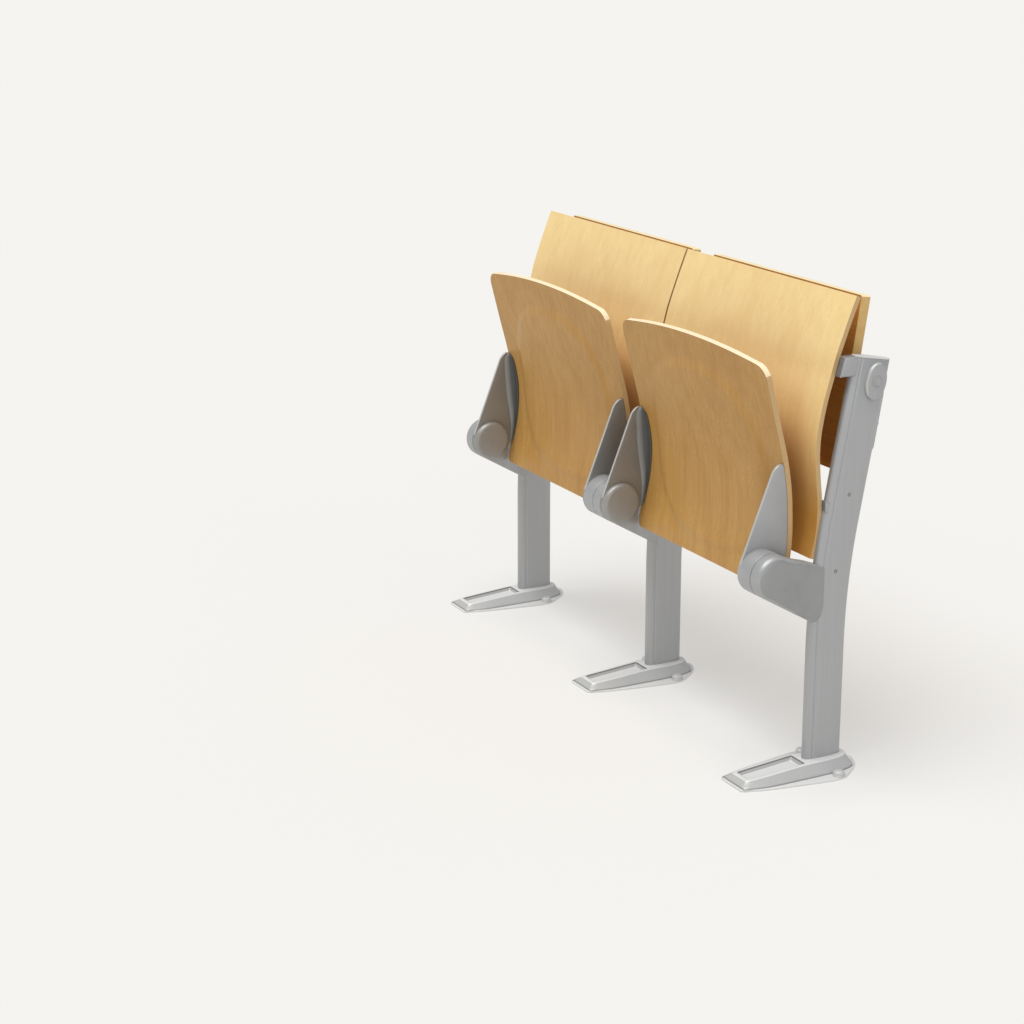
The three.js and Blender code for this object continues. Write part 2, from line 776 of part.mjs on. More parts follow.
function seatPoint(across, along, offset) {
  const { smoothstep } = THREE.MathUtils;
  const length = seatLine.getLength();
  const inset = Math.max(
    drawnIn(along * length, seatRearCorner),
    drawnIn((1 - along) * length, seatFrontCorner),
  );
  const crown = seatCrown * (1 - across ** 2) * smoothstep(along, crownStartShare, 1);
  const dish = seatDish
    * smoothstep(1 - Math.abs(across), ...dishEdgeShares.across)
    * smoothstep(along, ...dishEdgeShares.rear)
    * smoothstep(1 - along, ...dishEdgeShares.front);
  const point = seatLine.getPointAt(along);
  const tangent = seatLine.getTangentAt(along);
  return new THREE.Vector3(
    across * (seatHalfWidth - inset),
    point.x + tangent.y * (offset - dish) + tangent.x * crown,
    point.y - tangent.x * (offset - dish) + tangent.y * crown,
  );
}

function seatPanel() {
  const wide = seatColumns + 1;
  const layer = wide * seatRowShares.length;
  const points = [0, seatThickness].flatMap((offset) => seatRowShares.flatMap((along) => (
    Array.from({ length: wide }, (_, i) => seatPoint((2 * i) / seatColumns - 1, along, offset))
  )));
  const faces = [];
  const quad = (a, b, c, d) => faces.push(a, b, c, a, c, d);
  for (let level = 0; level < seatRowShares.length - 1; level += 1) {
    const left = level * wide;
    const right = left + seatColumns;
    for (let a = left; a < right; a += 1) {
      quad(a, a + 1, a + 1 + wide, a + wide);
      quad(layer + a, layer + a + wide, layer + a + 1 + wide, layer + a + 1);
    }
    quad(left, left + wide, layer + left + wide, layer + left);
    quad(right, layer + right, layer + right + wide, right + wide);
  }
  const top = layer - wide;
  for (let i = 0; i < seatColumns; i += 1) {
    quad(i, layer + i, layer + i + 1, i + 1);
    quad(top + i, top + i + 1, layer + top + i + 1, layer + top + i);
  }
  const geometry = new THREE.BufferGeometry().setFromPoints(points);
  geometry.setIndex(faces);
  return geometry;
}

// Wings, drawn for the left side of a seat: X is 0 at the outer face and grows inwards.
// They are drawn a little way into the seat panel and cut back to its underside.
const wingTipZ = hubZ + wingTipRise;
const wingFootZ = hubZ - wingFootDrop;
const wingBite = seatThickness / 3;

function wingOutline() {
  const hub = new THREE.Vector2(hubY, hubZ);
  const tipFrontZ = wingTipZ - wingTipRound;
  const tipFrontY = yAt(seatUnder, tipFrontZ) - wingTipWidth;
  const toTip = new THREE.Vector2(tipFrontY, tipFrontZ).sub(hub);
  const frontAngle = toTip.angle() + Math.acos(hubRadius / toTip.length());
  const frontNormal = new THREE.Vector2(Math.cos(frontAngle), Math.sin(frontAngle));
  const start = hub.clone().addScaledVector(frontNormal, hubRadius);
  const tipRearZ = wingTipZ - wingTipSetback / 2;
  const tipRearY = yAt(seatUnder, tipRearZ) - wingTipSetback / 2;
  const outline = new THREE.Shape();
  outline.moveTo(start.x, start.y);
  outline.lineTo(tipFrontY, tipFrontZ);
  const tipTurnY = THREE.MathUtils.lerp(tipFrontY, tipRearY, wingTipTurnShare);
  outline.quadraticCurveTo(tipTurnY, wingTipZ, tipRearY, wingTipZ);
  for (let i = 0; i <= leafRearSteps; i += 1) {
    const z = THREE.MathUtils.lerp(tipRearZ, wingFootZ, i / leafRearSteps);
    outline.lineTo(yAt(seatUnder, z) + wingBite, z);
  }
  outline.lineTo(hubY + hubRadius * Math.cos(wingHeelAngle), hubZ + hubRadius * Math.sin(wingHeelAngle));
  outline.absarc(hubY, hubZ, hubRadius, wingHeelAngle, frontAngle, true);
  return outline;
}

// The flange that is screwed under the seat, with a hollow fillet down to the plate
function wingFlange() {
  const inner = wingPlate - wingEdge;
  const outlines = flangeReachShares.map(([, share]) => {
    const reach = flangeReach * share;
    const radius = reach - inner;
    const fillet = Array.from({ length: filletSteps + 1 }, (_, i) => {
      const turn = (Math.PI / 2) * (1 - i / filletSteps);
      const rise = radius * (1 - Math.cos(turn));
      return new THREE.Vector2(reach - radius * Math.sin(turn), -flangeEdge - rise);
    });
    return [
      new THREE.Vector2(wingEdge, -flangeEdge - radius),
      ...fillet,
      new THREE.Vector2(reach, wingBite),
      new THREE.Vector2(wingEdge, wingBite),
    ];
  });
  return loft(outlines, (point, level) => {
    const z = THREE.MathUtils.lerp(wingFootZ, wingTipZ - wingTipSetback / 2, flangeReachShares[level][0]);
    return new THREE.Vector3(point.x, yAt(seatUnder, z) + point.y, z);
  });
}

const seatRoom = extrudeX(band(seatLine, -seatGap, seatThickness, seatRowShares), -placeWidth, placeWidth);

function wing(sprung) {
  const hubLength = wingGap + hubSplit - fit;
  const slotHalf = stopRadius + stopClearance;
  const springInner = springRadius - springWireRadius - springRoom;
  const springOuter = springRadius + springWireRadius + springRoom;
  const slot = arcSlot(hubY, hubZ, stopCircle, slotHalf, stopAngle - seatTravel, stopAngle);
  const slotFloor = stopReach + hubSplit - hubLength;
  const hub = extrudeX(disc(hubY, hubZ, hubRadius), -hubLength, wingPlate - hubEdge, hubEdge, hubSteps);
  const springRing = ring(hubY, hubZ, springInner, springOuter);
  const hubCuts = [
    extrudeX(springRing, -hubLength - overrun, -springFloor, 0, springRoomSteps),
    extrudeX(slot, -hubLength - overrun, slotFloor, 0, slotSteps),
  ];
  return shaped(extrudeX(wingOutline(), 0, wingPlate, wingEdge, leafCurveSteps), {
    joined: [wingFlange(), ...(sprung ? [hub] : [])],
    removed: [
      seatRoom,
      rodX(pivotBore, -2 * hubLength, 2 * wingPlate, hubY, hubZ),
      ...(sprung ? hubCuts : []),
    ],
  });
}

// A flanged nylon bush in each wing, longer in a sprung hub
function bush(sprung) {
  const inner = pinRadius + fit;
  const outer = inner + bushWall;
  const start = sprung ? -bushReach : 0;
  const flange = wingPlate + fit;
  return turnedX([
    [inner, start], [outer, start], [outer, flange], [bushFlangeRadius, flange],
    [bushFlangeRadius, flange + bushFlangeThickness], [inner, flange + bushFlangeThickness], [inner, start],
  ], pinSides).translate(0, hubY, hubZ);
}

// Round covers over the ends of the pivot pins
function hubCap(radius) {
  const face = wingPlate + fit;
  const top = face + hubCapDepth;
  const recess = pinHeadRadius + hubCapClearance;
  const roundShares = [0, 0.33, 0.67, 1];
  return turnedX([
    [0, top - hubCapFloor], [recess, top - hubCapFloor], [recess, face], [radius, face],
    ...roundShares.map((share) => [
      radius - hubCapRound * (1 - Math.cos((share * Math.PI) / 2)),
      top - hubCapRound * (1 - Math.sin((share * Math.PI) / 2)),
    ]),
    [0, top],
  ], coverSides).translate(0, hubY, hubZ);
}

// Tablet hinge brackets, drawn for the side of a post that faces +X
const pivotZ = postHeight - tabletPivotDrop;
const pivotY = postRearAt(pivotZ) + tabletPivotClearance + tabletPinRadius;

function kneeOutline() {
  const top = new THREE.Vector2(postY(postHeight - kneeTopDrop) + kneeTopBehind, postHeight - kneeTopDrop);
  const low = new THREE.Vector2(postY(postHeight - kneeFootDrop) + kneeFootBehind, postHeight - kneeFootDrop);
  const between = low.clone().sub(top);
  const spread = Math.acos((kneeTopRadius - kneeFootRadius) / between.length());
  const rear = between.angle() + spread;
  const front = between.angle() - spread;
  const outline = new THREE.Shape();
  outline.absarc(top.x, top.y, kneeTopRadius, rear, front, false);
  outline.absarc(low.x, low.y, kneeFootRadius, front, rear, false);
  outline.closePath();
  return outline;
}

function knee() {
  const slotHalf = tabletStopRadius + stopClearance;
  const slot = arcSlot(
    pivotY, pivotZ, tabletStopCircle, slotHalf, tabletStopAngle - tabletTravel, tabletStopAngle,
  );
  return shaped(extrudeX(kneeOutline(), kneeInner, kneeOuter, kneeEdge, leafCurveSteps), {
    removed: [
      postRoom,
      rodX(tabletPinRadius + fit, 0, kneeOuter + overrun, pivotY, pivotZ),
      extrudeX(slot, kneeOuter - tabletStopReach, kneeOuter + overrun, 0, slotSteps),
    ],
  });
}

// Tablet pivot pins, headed outside each tablet bracket that they carry
function tabletPin(hasNext, hasBefore) {
  const outerFace = kneeOuter + earGap + earThickness + fit;
  const innerFace = kneeInner - fit;
  const headed = (face) => [
    [tabletPinRadius, face], [tabletPinHead, face], [tabletPinHead, face + tabletPinHeadThickness],
    [0, face + tabletPinHeadThickness],
  ];
  const turnedBack = (profile) => profile.map(([radius, along]) => [radius, -along]).reverse();
  return turnedX([
    ...turnedBack(headed(hasBefore ? outerFace : -innerFace)),
    ...headed(hasNext ? outerFace : -innerFace),
  ], pinSides).translate(0, pivotY, pivotZ);
}

// Oval covers, drawn for the side of a post that faces +X
function ovalCover() {
  const outer = postHalfWidth + ovalProud;
  const z = postHeight - ovalDrop;
  const outline = new THREE.Shape(oval(ovalHalfWidth, ovalHalfHeight, coverSides));
  const cover = shaped(extrudeX(outline, ovalInner, outer, ovalEdge), {
    joined: [extrudeX(disc(0, 0, bossRadius), ovalInner, outer + bossProud, bossEdge)],
  });
  return shaped(cover.rotateX(-postLean).translate(0, postY(z) + ovalBehind, z), { removed: [postRoom] });
}

// Tablets, drawn upright: Y is 0 on the rear face and Z is 0 on the lower edge
function tabletPanel() {
  const outline = new THREE.Shape();
  const half = placeWidth / 2 - tabletEndInset - tabletCorner;
  const high = tabletDepth - tabletCorner;
  outline.absarc(half, tabletCorner, tabletCorner, -quarter, 0, false);
  outline.absarc(half, high, tabletCorner, 0, quarter, false);
  outline.absarc(-half, high, tabletCorner, quarter, 2 * quarter, false);
  outline.absarc(-half, tabletCorner, tabletCorner, 2 * quarter, 3 * quarter, false);
  return new THREE.ExtrudeGeometry(outline, {
    depth: tabletThickness - 2 * tabletEdge,
    curveSegments: tabletCornerSteps,
    bevelThickness: tabletEdge,
    bevelSize: tabletEdge,
    bevelOffset: -tabletEdge,
    bevelSegments: 1,
  }).translate(0, 0, tabletEdge).rotateX(quarter);
}

// Brackets behind the tablets, drawn for a tablet's left end with X from the post's centre
function tabletBracket() {
  const from = kneeOuter + earGap;
  const root = Math.hypot(tabletPivotReach, earRootHalf);
  const turn = Math.atan2(earRootHalf, tabletPivotReach);
  const reach = Math.PI - turn - Math.acos(earRadius / root);
  const ear = new THREE.Shape();
  ear.moveTo(fit, tabletPivotRise + earRootHalf);
  ear.lineTo(fit, tabletPivotRise - earRootHalf);
  ear.absarc(tabletPivotReach, tabletPivotRise, earRadius, -reach, reach, false);
  const plate = new THREE.Shape([
    new THREE.Vector2(fit, tabletPivotRise - earPlateHalfHeight),
    new THREE.Vector2(fit + earPlateThickness, tabletPivotRise - earPlateHalfHeight),
    new THREE.Vector2(fit + earPlateThickness, tabletPivotRise + earPlateHalfHeight),
    new THREE.Vector2(fit, tabletPivotRise + earPlateHalfHeight),
  ]);
  const stopTurn = tabletStopAngle + tabletLean;
  const stop = rodX(
    tabletStopRadius,
    from + stopClearance - tabletStopReach,
    from + tabletStopRadius,
    tabletPivotReach + tabletStopCircle * Math.cos(stopTurn),
    tabletPivotRise + tabletStopCircle * Math.sin(stopTurn),
    stopSides,
  );
  return shaped(extrudeX(ear, from, from + earThickness, earEdge), {
    joined: [extrudeX(plate, from, from + earPlateLength, earEdge / 2), stop],
    removed: [rodX(tabletPinRadius + fit, 0, from + 2 * earThickness, tabletPivotReach, tabletPivotRise)],
  });
}

// Posts, feet, arms and brackets
stations.forEach(({ side, placeShare }, i) => {
  const hasBefore = i > 0;
  const hasNext = i < stations.length - 1;
  const station = groupAt(placeWidth * placeShare, 0, 0, row);
  const top = groupAt(0, postY(postHeight), postHeight, station);
  top.rotation.x = -postLean;
  add(`${side}_post`, post(), finishes.extrusion, station);
  add(`${side}_post_cap`, postCap(), finishes.nylon, top);
  add(`${side}_foot`, foot(), finishes.cast, station);
  add(`${side}_foot_left_anchor_bolt`, anchorBolt().translate(-anchorX, 0, 0), finishes.steel, station);
  add(`${side}_foot_right_anchor_bolt`, anchorBolt().translate(anchorX, 0, 0), finishes.steel, station);
  add(`${side}_arm`, arm(hasNext, hasBefore), finishes.cast, station);
  add(`${side}_seat_pivot_pin`, pivotPin(hasNext, hasBefore), finishes.steel, station);
  add(`${side}_tablet_pivot_pin`, tabletPin(hasNext, hasBefore), finishes.steel, station);
  const upperBracket = backBracket({
    z: postHeight - upperBracketDrop,
    height: upperBracketHeight,
    halfWidth: upperBracketHalfWidth,
    wrap: upperBracketWrap,
  }, hasNext, hasBefore);
  const lowerBracket = backBracket({
    z: backBottomZ + lowerBracketRise,
    height: lowerBracketHeight,
    halfWidth: lowerBracketHalfWidth,
    wrap: lowerBracketWrap,
  }, hasNext, hasBefore);
  add(`${side}_upper_back_bracket`, upperBracket, finishes.cast, station);
  add(`${side}_lower_back_bracket`, lowerBracket, finishes.cast, station);
  if (hasNext) add(`${side}_post_right_tablet_hinge`, knee(), finishes.cast, station);
  if (hasBefore) add(`${side}_post_left_tablet_hinge`, mirrored(knee()), finishes.cast, station);
  if (!hasNext) add(`${side}_oval_cover`, ovalCover(), finishes.cast, station);
  if (!hasBefore) add(`${side}_oval_cover`, mirrored(ovalCover()), finishes.cast, station);
  if (hasBefore) add(`${places[i - 1].side}_seat_spring`, torsionSpring(), finishes.steel, station);
});

// Backs, seats and tablets
places.forEach(({ side, placeShare }) => {
  const place = groupAt(placeWidth * placeShare, 0, 0, row);
  const wingX = placeWidth / 2 - wingGap;
  add(`${side}_back_panel`, backPanel(), finishes.beech, place);
  add(`${side}_seat_panel`, seatPanel(), finishes.beech, place);
  const leftSide = groupAt(-wingX, 0, 0, place);
  add(`${side}_seat_left_wing`, wing(false), finishes.cast, leftSide);
  add(`${side}_seat_left_bush`, bush(false), finishes.nylon, leftSide);
  add(`${side}_seat_left_hub_cap`, hubCap(hubRadius - hubCapInset), finishes.nylon, leftSide);
  const rightSide = groupAt(wingX, 0, 0, place);
  add(`${side}_seat_right_wing`, mirrored(wing(true)), finishes.cast, rightSide);
  add(`${side}_seat_right_bush`, mirrored(bush(true)), finishes.nylon, rightSide);
  add(`${side}_seat_right_hub_cap`, mirrored(hubCap(sprungCapRadius)), finishes.nylon, rightSide);
  const pivot = groupAt(0, pivotY, pivotZ, place);
  pivot.rotation.x = -tabletLean;
  const tablet = groupAt(0, -tabletPivotReach, -tabletPivotRise, pivot);
  add(`${side}_tablet_panel`, tabletPanel(), finishes.board, tablet);
  const leftEnd = groupAt(-placeWidth / 2, 0, 0, tablet);
  add(`${side}_tablet_left_bracket`, tabletBracket(), finishes.cast, leftEnd);
  const rightEnd = groupAt(placeWidth / 2, 0, 0, tablet);
  add(`${side}_tablet_right_bracket`, mirrored(tabletBracket()), finishes.cast, rightEnd);
});

export default row;
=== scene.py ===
from math import acos, asin, atan2, copysign, cos, hypot, pi, radians, sin, sqrt, tan

import bmesh
import bpy
from mathutils import Matrix, Vector


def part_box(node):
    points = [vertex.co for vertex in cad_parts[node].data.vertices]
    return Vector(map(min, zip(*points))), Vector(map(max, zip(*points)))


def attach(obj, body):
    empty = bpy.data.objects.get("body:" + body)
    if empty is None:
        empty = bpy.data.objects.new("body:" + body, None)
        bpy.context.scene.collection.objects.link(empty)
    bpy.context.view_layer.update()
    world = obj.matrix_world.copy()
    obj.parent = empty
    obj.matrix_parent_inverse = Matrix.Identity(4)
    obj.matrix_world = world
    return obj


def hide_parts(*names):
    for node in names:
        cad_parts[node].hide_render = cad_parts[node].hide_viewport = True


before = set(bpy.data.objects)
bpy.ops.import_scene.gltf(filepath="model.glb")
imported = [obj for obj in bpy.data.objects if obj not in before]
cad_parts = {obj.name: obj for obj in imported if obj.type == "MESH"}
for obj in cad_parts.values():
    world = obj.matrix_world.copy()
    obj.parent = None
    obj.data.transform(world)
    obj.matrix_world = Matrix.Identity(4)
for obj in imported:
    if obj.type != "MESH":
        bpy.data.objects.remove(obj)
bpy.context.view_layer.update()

# Shapes are in millimetres, in the frame's own axes, and build() scales them; finishes are in metres
MM = 0.001
FIT = 0.3

SIDES = ("left", "right")
POSTS = ("left", "middle", "right")
ENDS = (("left", -1), ("right", 1))


def centre_of(node):
    low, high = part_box(node)
    return (low + high) / (2 * MM)


POST_X = {side: centre_of(f"{side}_post").x for side in POSTS}
PLACE_X = {side: centre_of(f"{side}_back_panel").x for side in SIDES}
PLACE_WIDTH = POST_X["right"] - POST_X["middle"]
HUB = centre_of("left_seat_left_hub_cap").yz
TABLET_PIVOT = centre_of("left_tablet_pivot_pin").yz

# Posts
POST_HALF = (11.5, 39.8)
POST_ROUNDNESS = 3
POST_GROOVE = (25, 2.0, 1.1)
BEND_START = 235
BEND_RADIUS = 1322
LEAN = 0.1787
POST_TOP = 758
POST_FOOT = 6.3
POST_LEVELS = ((60, 120, 180), (550, 640))
POST_EDGE = (0.4, 0.5)
LID = 2.5
LID_EDGE = 0.7
LID_PLUG = (1.2, 1.5)
BEND_RISE = BEND_RADIUS * sin(LEAN)
POST_SCREWS = ((31.4, 516.8), (9.1, 377.3))

# Feet
FLANGE = 4
FLANGE_REACH = {"half": 70.5, "front": 194, "rear": 70.5}
FLANGE_SHARES = {
    "front": ((0.45, 1), (0.54, 0.92), (0.67, 0.785), (0.85, 0.443), (0.985, 0.138), (1, 0.03)),
    "rear": ((0.94, 0.16), (0.786, 0.394), (0.45, 0.8), (0.106, 0.99)),
}
FOOT_REACH = {"half": 48, "front": 190, "rear": 62}
FOOT_SHARES = {
    "front": ((0.727, 1), (0.956, 0.742), (0.992, 0.405), (1, 0.18)),
    "rear": ((0.97, 0.2), (0.765, 0.739), (0.433, 0.892)),
}
RIM_REACH = {"half": 25, "front": 176, "rear": 50}
RIM_SHARES = {
    "front": ((0.9, 1), (1, 0.8), (1, 0.45), (1, 0.2)),
    "rear": ((0.97, 0.2), (0.76, 0.74), (0.43, 0.93)),
}
FOOT_TOP = 22.5
RIM_FALL = 8
TRAY_BEHIND = 9.5
TRAY_RIM = 7
TRAY_HALF = 21
TRAY_FRONT_HALF = 18.5
TRAY_DEPTH = 8
TRAY_SLOPE = 4
TRAY_CORNER = 2.5
FLANGE_STEPS = ((0.5, 0), (0, 0.5), (0, FLANGE - 1.0), (0.3, FLANGE - 0.3), (1.0, FLANGE))
FOOT_ROOT_STEPS = ((-0.6, 0), (0.6, 0.5), (1.6, 1.9))
RIM_STEPS = ((-1.4, 1.6), (-0.4, 0.5), (0.9, 0))
TRAY_STEPS = (
    (-0.9, 0), (-0.2, 0.3), (0.8, 2.2), (TRAY_SLOPE - 0.8, TRAY_DEPTH - 0.9), (TRAY_SLOPE, TRAY_DEPTH - 0.15),
    (TRAY_SLOPE + 1.2, TRAY_DEPTH),
)
FOOT_CENTRE = (0, -80)
ANCHOR_X = 58.5
ANCHOR_WASHER = (11.5, 1.2)
ANCHOR_DOME = (10.5, 9)
ANCHOR_WALL_SHARE = 0.45

# Seat hinge, arms and wings
HUB_RADIUS = 41
HUB_EDGE = 1.5
HUB_SPLIT = 3
WING_GAP = 31.3
HUB_FACE = WING_GAP - FIT
ARM_HALF = 14
ARM_END_ROUND = 12
ARM_CRANK = {"ahead": 4, "behind": 36}
ARM_EDGE = 4
ARM_SKIN = 0.15
ARM_FALLS = (0.367, 0.529)
ARM_WRAP = 24.5
ARM_TOE = 2.5
ARM_TOE_ROUND = 30
ARM_TAPER_START = -48
ARM_STEPS = 28
ARM_TOE_STEPS = 9
WING_PLATE = 5.7
WING_EDGE = 1.2
WING_TIP_RISE = 189
WING_TIP_WIDTH = 25.8
WING_TIP_ROUND = 15
WING_TIP_SETBACK = 9
WING_FOOT_DROP = 8
WING_HEEL_ANGLE = -0.785
FLANGE_EDGE = 2.6
FLANGE_WIDTH = 28
FLANGE_WIDTH_SHARES = (
    (0, 0.35), (0.14, 0.46), (0.3, 0.68), (0.46, 0.88), (0.6, 0.99), (0.7, 1), (0.8, 0.96), (0.9, 0.87),
    (0.96, 0.75), (0.99, 0.58), (1.01, 0.36), (1.02, 0.2),
)
# Where the painted shade across a wing's flange and fillet starts and where it is full, from the outer face
FLANGE_SHADE_SPAN = (WING_PLATE - 0.5, FLANGE_WIDTH * 0.45)
HUB_CAP_DEPTH = 12.8
HUB_CAP_ROUND = 8
HUB_CAP_CROWN = 0.5
# How far the dark ring in the groove between hubs, a painted shade, is drawn in from the hub's edge
GROOVE_SHADE_SIZE = (1.5, 0.35)
SPRUNG_CAP_RADIUS = 32

# Seat panels
SEAT_BEHIND_HUB = 60.5
SEAT_BELOW_HUB = 55
SEAT_LENGTH = 423
SEAT_SWEEP = 57
SEAT_THICKNESS = 10
SEAT_CROWN = 15
SEAT_FRONT_CORNER = 28
SEAT_REAR_CORNER = 10
SEAT_DISH = 5
DISH_SHARES = {"half": 0.8, "middle": 0.47, "reach": 0.42, "rim": 0.11}
DISH_ROUNDNESS = 2.6
SEAT_LINE_SHARES = (
    (0, 0.22), (0.056, 0.185), (0.122, 0.094), (0.193, 0.022), (0.253, 0), (0.335, 0.01), (0.456, 0.077),
    (0.588, 0.25), (0.74, 0.555), (0.82, 0.712), (0.9, 0.868), (1, 1.06),
)
SEAT_HALF = PLACE_WIDTH / 2 - WING_GAP - FIT

# Back panels and their brackets
BACK_BOTTOM = (-37.58, 404)
BACK_RUN = 77.65
BACK_RISE = 466.1
BACK_BOW = 32.5
BACK_THICKNESS = 9.5
BACK_SEAM = 5
BACK_BOW_SHARES = (
    (0, 0), (0.07, -0.08), (0.14, -0.03), (0.22, 0.17), (0.3, 0.5), (0.385, 0.82), (0.46, 0.98), (0.535, 1),
    (0.615, 0.94), (0.69, 0.81), (0.77, 0.68), (0.9, 0.32), (1, 0),
)
BRACKETS = {
    "upper": {"z": 749, "height": 34, "half": 14, "wrap": 5},
    "lower": {"z": 498, "height": 22, "half": 9, "wrap": 7},
}
BRACKET_SPAN = 29
BRACKET_PLATE = 3
BRACKET_EDGE = 3.6
BRACKET_PLATE_EDGE = 0.7

# Tablet hinges, tablets and oval covers
KNEE_X = (8, 22)
KNEE_TOP = {"drop": 68, "behind": 14, "radius": 38}
KNEE_LOW = {"drop": 163, "behind": 40, "radius": 13}
LEAF_EDGE = 1.4
TABLET = {"depth": 315, "thickness": 20, "corner": 4, "edge": 1.5, "inset": 37}
TABLET_LEAN = 0.15
TABLET_REACH = 32.9
TABLET_RISE = 93.1
EAR = {"gap": 0.6, "thickness": 9, "radius": 10, "root": 26, "plate": 4, "length": 44, "half": 29}
EAR_PLATE_EDGE = 0.8
OVAL = {"drop": 40.5, "behind": 11.5, "half": (22, 34), "inner": 6, "proud": 6.5, "edge": 4.5}
BOSS = (10.5, 1.6)
BOSS_EDGE = 0.8
BOSS_STEP = (1.6, 2.8)
# How far in from the boss's edge the painted shade on its step lies
BOSS_SHADE_STEP = (1.4, 3.2)

# Screws: the radius and height of the heads, and their places
SCREW = {"post": (3.8, 0.7), "bracket": (3.2, 1.8), "seat": (4.5, 0.5), "tablet": (3.4, 2.0)}
BRACKET_SCREW_X = 22
SEAT_SCREW_RISES = (28, 92, 150)
SEAT_SCREW_INSET = 12
TABLET_SCREW_RISES = (-20, 20)
TABLET_SCREW_INSET = 8

# Where smooth shading stops, in degrees
CRISP, FIRM, SOFT = 35, 40, 50


# Curves
def smooth_curve(points, steps):
    """Samples a uniform Catmull-Rom curve through points."""
    points = [Vector(p) for p in points]
    last = len(points) - 1
    samples = []
    for i in range(last):
        before, start, end, after = points[max(i - 1, 0)], points[i], points[i + 1], points[min(i + 2, last)]
        leave, reach = (end - before) / 2, (after - start) / 2
        for step in range(steps):
            t = step / steps
            cubic = 2 * start - 2 * end + leave + reach
            square = 3 * end - 3 * start - 2 * leave - reach
            samples.append(cubic * t**3 + square * t**2 + leave * t + start)
    return samples + [points[last]]


class Line:
    """A curve in the Y-Z plane that is read by the share of its length."""

    def __init__(self, points):
        self.points = smooth_curve(points, 24)
        self.runs = [0.0]
        for a, b in zip(self.points, self.points[1:]):
            self.runs.append(self.runs[-1] + (b - a).length)
        self.length = self.runs[-1]

    def at(self, share):
        """The point at a share of the length, and the direction there."""
        run = min(max(share, 0), 1) * self.length
        i = next((k for k in range(1, len(self.runs)) if self.runs[k] >= run), len(self.runs) - 1)
        a, b = self.points[i - 1], self.points[i]
        t = (run - self.runs[i - 1]) / (self.runs[i] - self.runs[i - 1])
        ahead = self.points[min(i + 1, len(self.points) - 1)] - self.points[max(i - 2, 0)]
        return a.lerp(b, t), ahead.normalized()

    def beside(self, share, offset):
        """A point set off to the right of the line."""
        point, ahead = self.at(share)
        return Vector((point.x + ahead.y * offset, point.y - ahead.x * offset))

    def y_at(self, z, offset=0):
        """The Y of the line, set off sideways, at a height."""
        near = [self.beside(k / 160, offset) for k in range(161)]
        for a, b in zip(near, near[1:]):
            if b.y >= z:
                return a.x + (b.x - a.x) * (z - a.y) / (b.y - a.y)
        return near[-1].x


def arc(centre, radius, start, end, steps):
    """Points on an arc from one angle to another."""
    turns = (start + (end - start) * k / steps for k in range(steps + 1))
    return [Vector((centre[0] + radius * cos(t), centre[1] + radius * sin(t))) for t in turns]


def quarter(steps):
    """Angles from 0 to a right angle."""
    return [pi / 2 * k / steps for k in range(steps + 1)]


def rounding(edge, steps):
    """A round edge: how far each step is drawn in, and how far along it lies."""
    return [(edge * (1 - sin(t)), edge * (1 - cos(t))) for t in quarter(steps)]


def rounded_levels(low, high, edge, steps, high_edge=None):
    """The rings between two faces with round edges: how far each is drawn in, and its place."""
    levels = [(drawn, low + along) for drawn, along in rounding(edge, steps)]
    far = reversed(rounding(high_edge or edge, steps))
    return levels + [(drawn, high - along) for drawn, along in far]


def bent(start, corner, end, t):
    """A point on the curve from start to end that a corner pulls."""
    return start * (1 - t) ** 2 + corner * 2 * t * (1 - t) + end * t**2


def leaning(at, lean):
    """A frame at a place that leans back about X."""
    return Matrix.Translation(at) @ Matrix.Rotation(-lean, 4, "X")


def superellipse(half_x, half_y, count, roundness=2.0):
    def pull(part):
        return copysign(abs(part) ** (2 / roundness), part)

    turns = (2 * pi * k / count for k in range(count))
    return [Vector((half_x * pull(cos(t)), half_y * pull(sin(t)))) for t in turns]


def inset(outline, distance):
    """A closed outline drawn in by a distance; its points run anticlockwise."""
    count = len(outline)
    drawn = []
    for k in range(count):
        ahead = (outline[(k + 1) % count] - outline[k]).normalized()
        behind = (outline[k] - outline[k - 1]).normalized()
        inward = Vector((-ahead.y - behind.y, ahead.x + behind.x))
        scale = max(inward.length_squared / 2, 0.3)
        drawn.append(outline[k] + inward * (distance / scale))
    return drawn


def anticlockwise(outline):
    area = sum(a.x * b.y - b.x * a.y for a, b in zip(outline, outline[1:] + outline[:1]))
    return outline if area > 0 else outline[::-1]


def smoothstep(value, low, high):
    t = min(max((value - low) / (high - low), 0), 1)
    return t * t * (3 - 2 * t)


# Shapes: each is a list of points and a list of faces
def lofted(rings):
    """Joins rings of equally many points and closes both ends."""
    count = len(rings[0])
    points = [p for ring in rings for p in ring]
    faces = [tuple(reversed(range(count)))]
    for level in range(len(rings) - 1):
        low, high = level * count, (level + 1) * count
        for k in range(count):
            after = (k + 1) % count
            faces.append((low + k, low + after, high + after, high + k))
    faces.append(tuple((len(rings) - 1) * count + k for k in range(count)))
    return points, faces


def pillow_x(outline, low, high, edge, steps=4):
    """Extrudes an outline in the Y-Z plane along X, with round edges."""
    outline = anticlockwise(outline)
    levels = rounded_levels(low, high, edge, steps)
    return lofted([[Vector((x, p.x, p.y)) for p in inset(outline, drawn)] for drawn, x in levels])


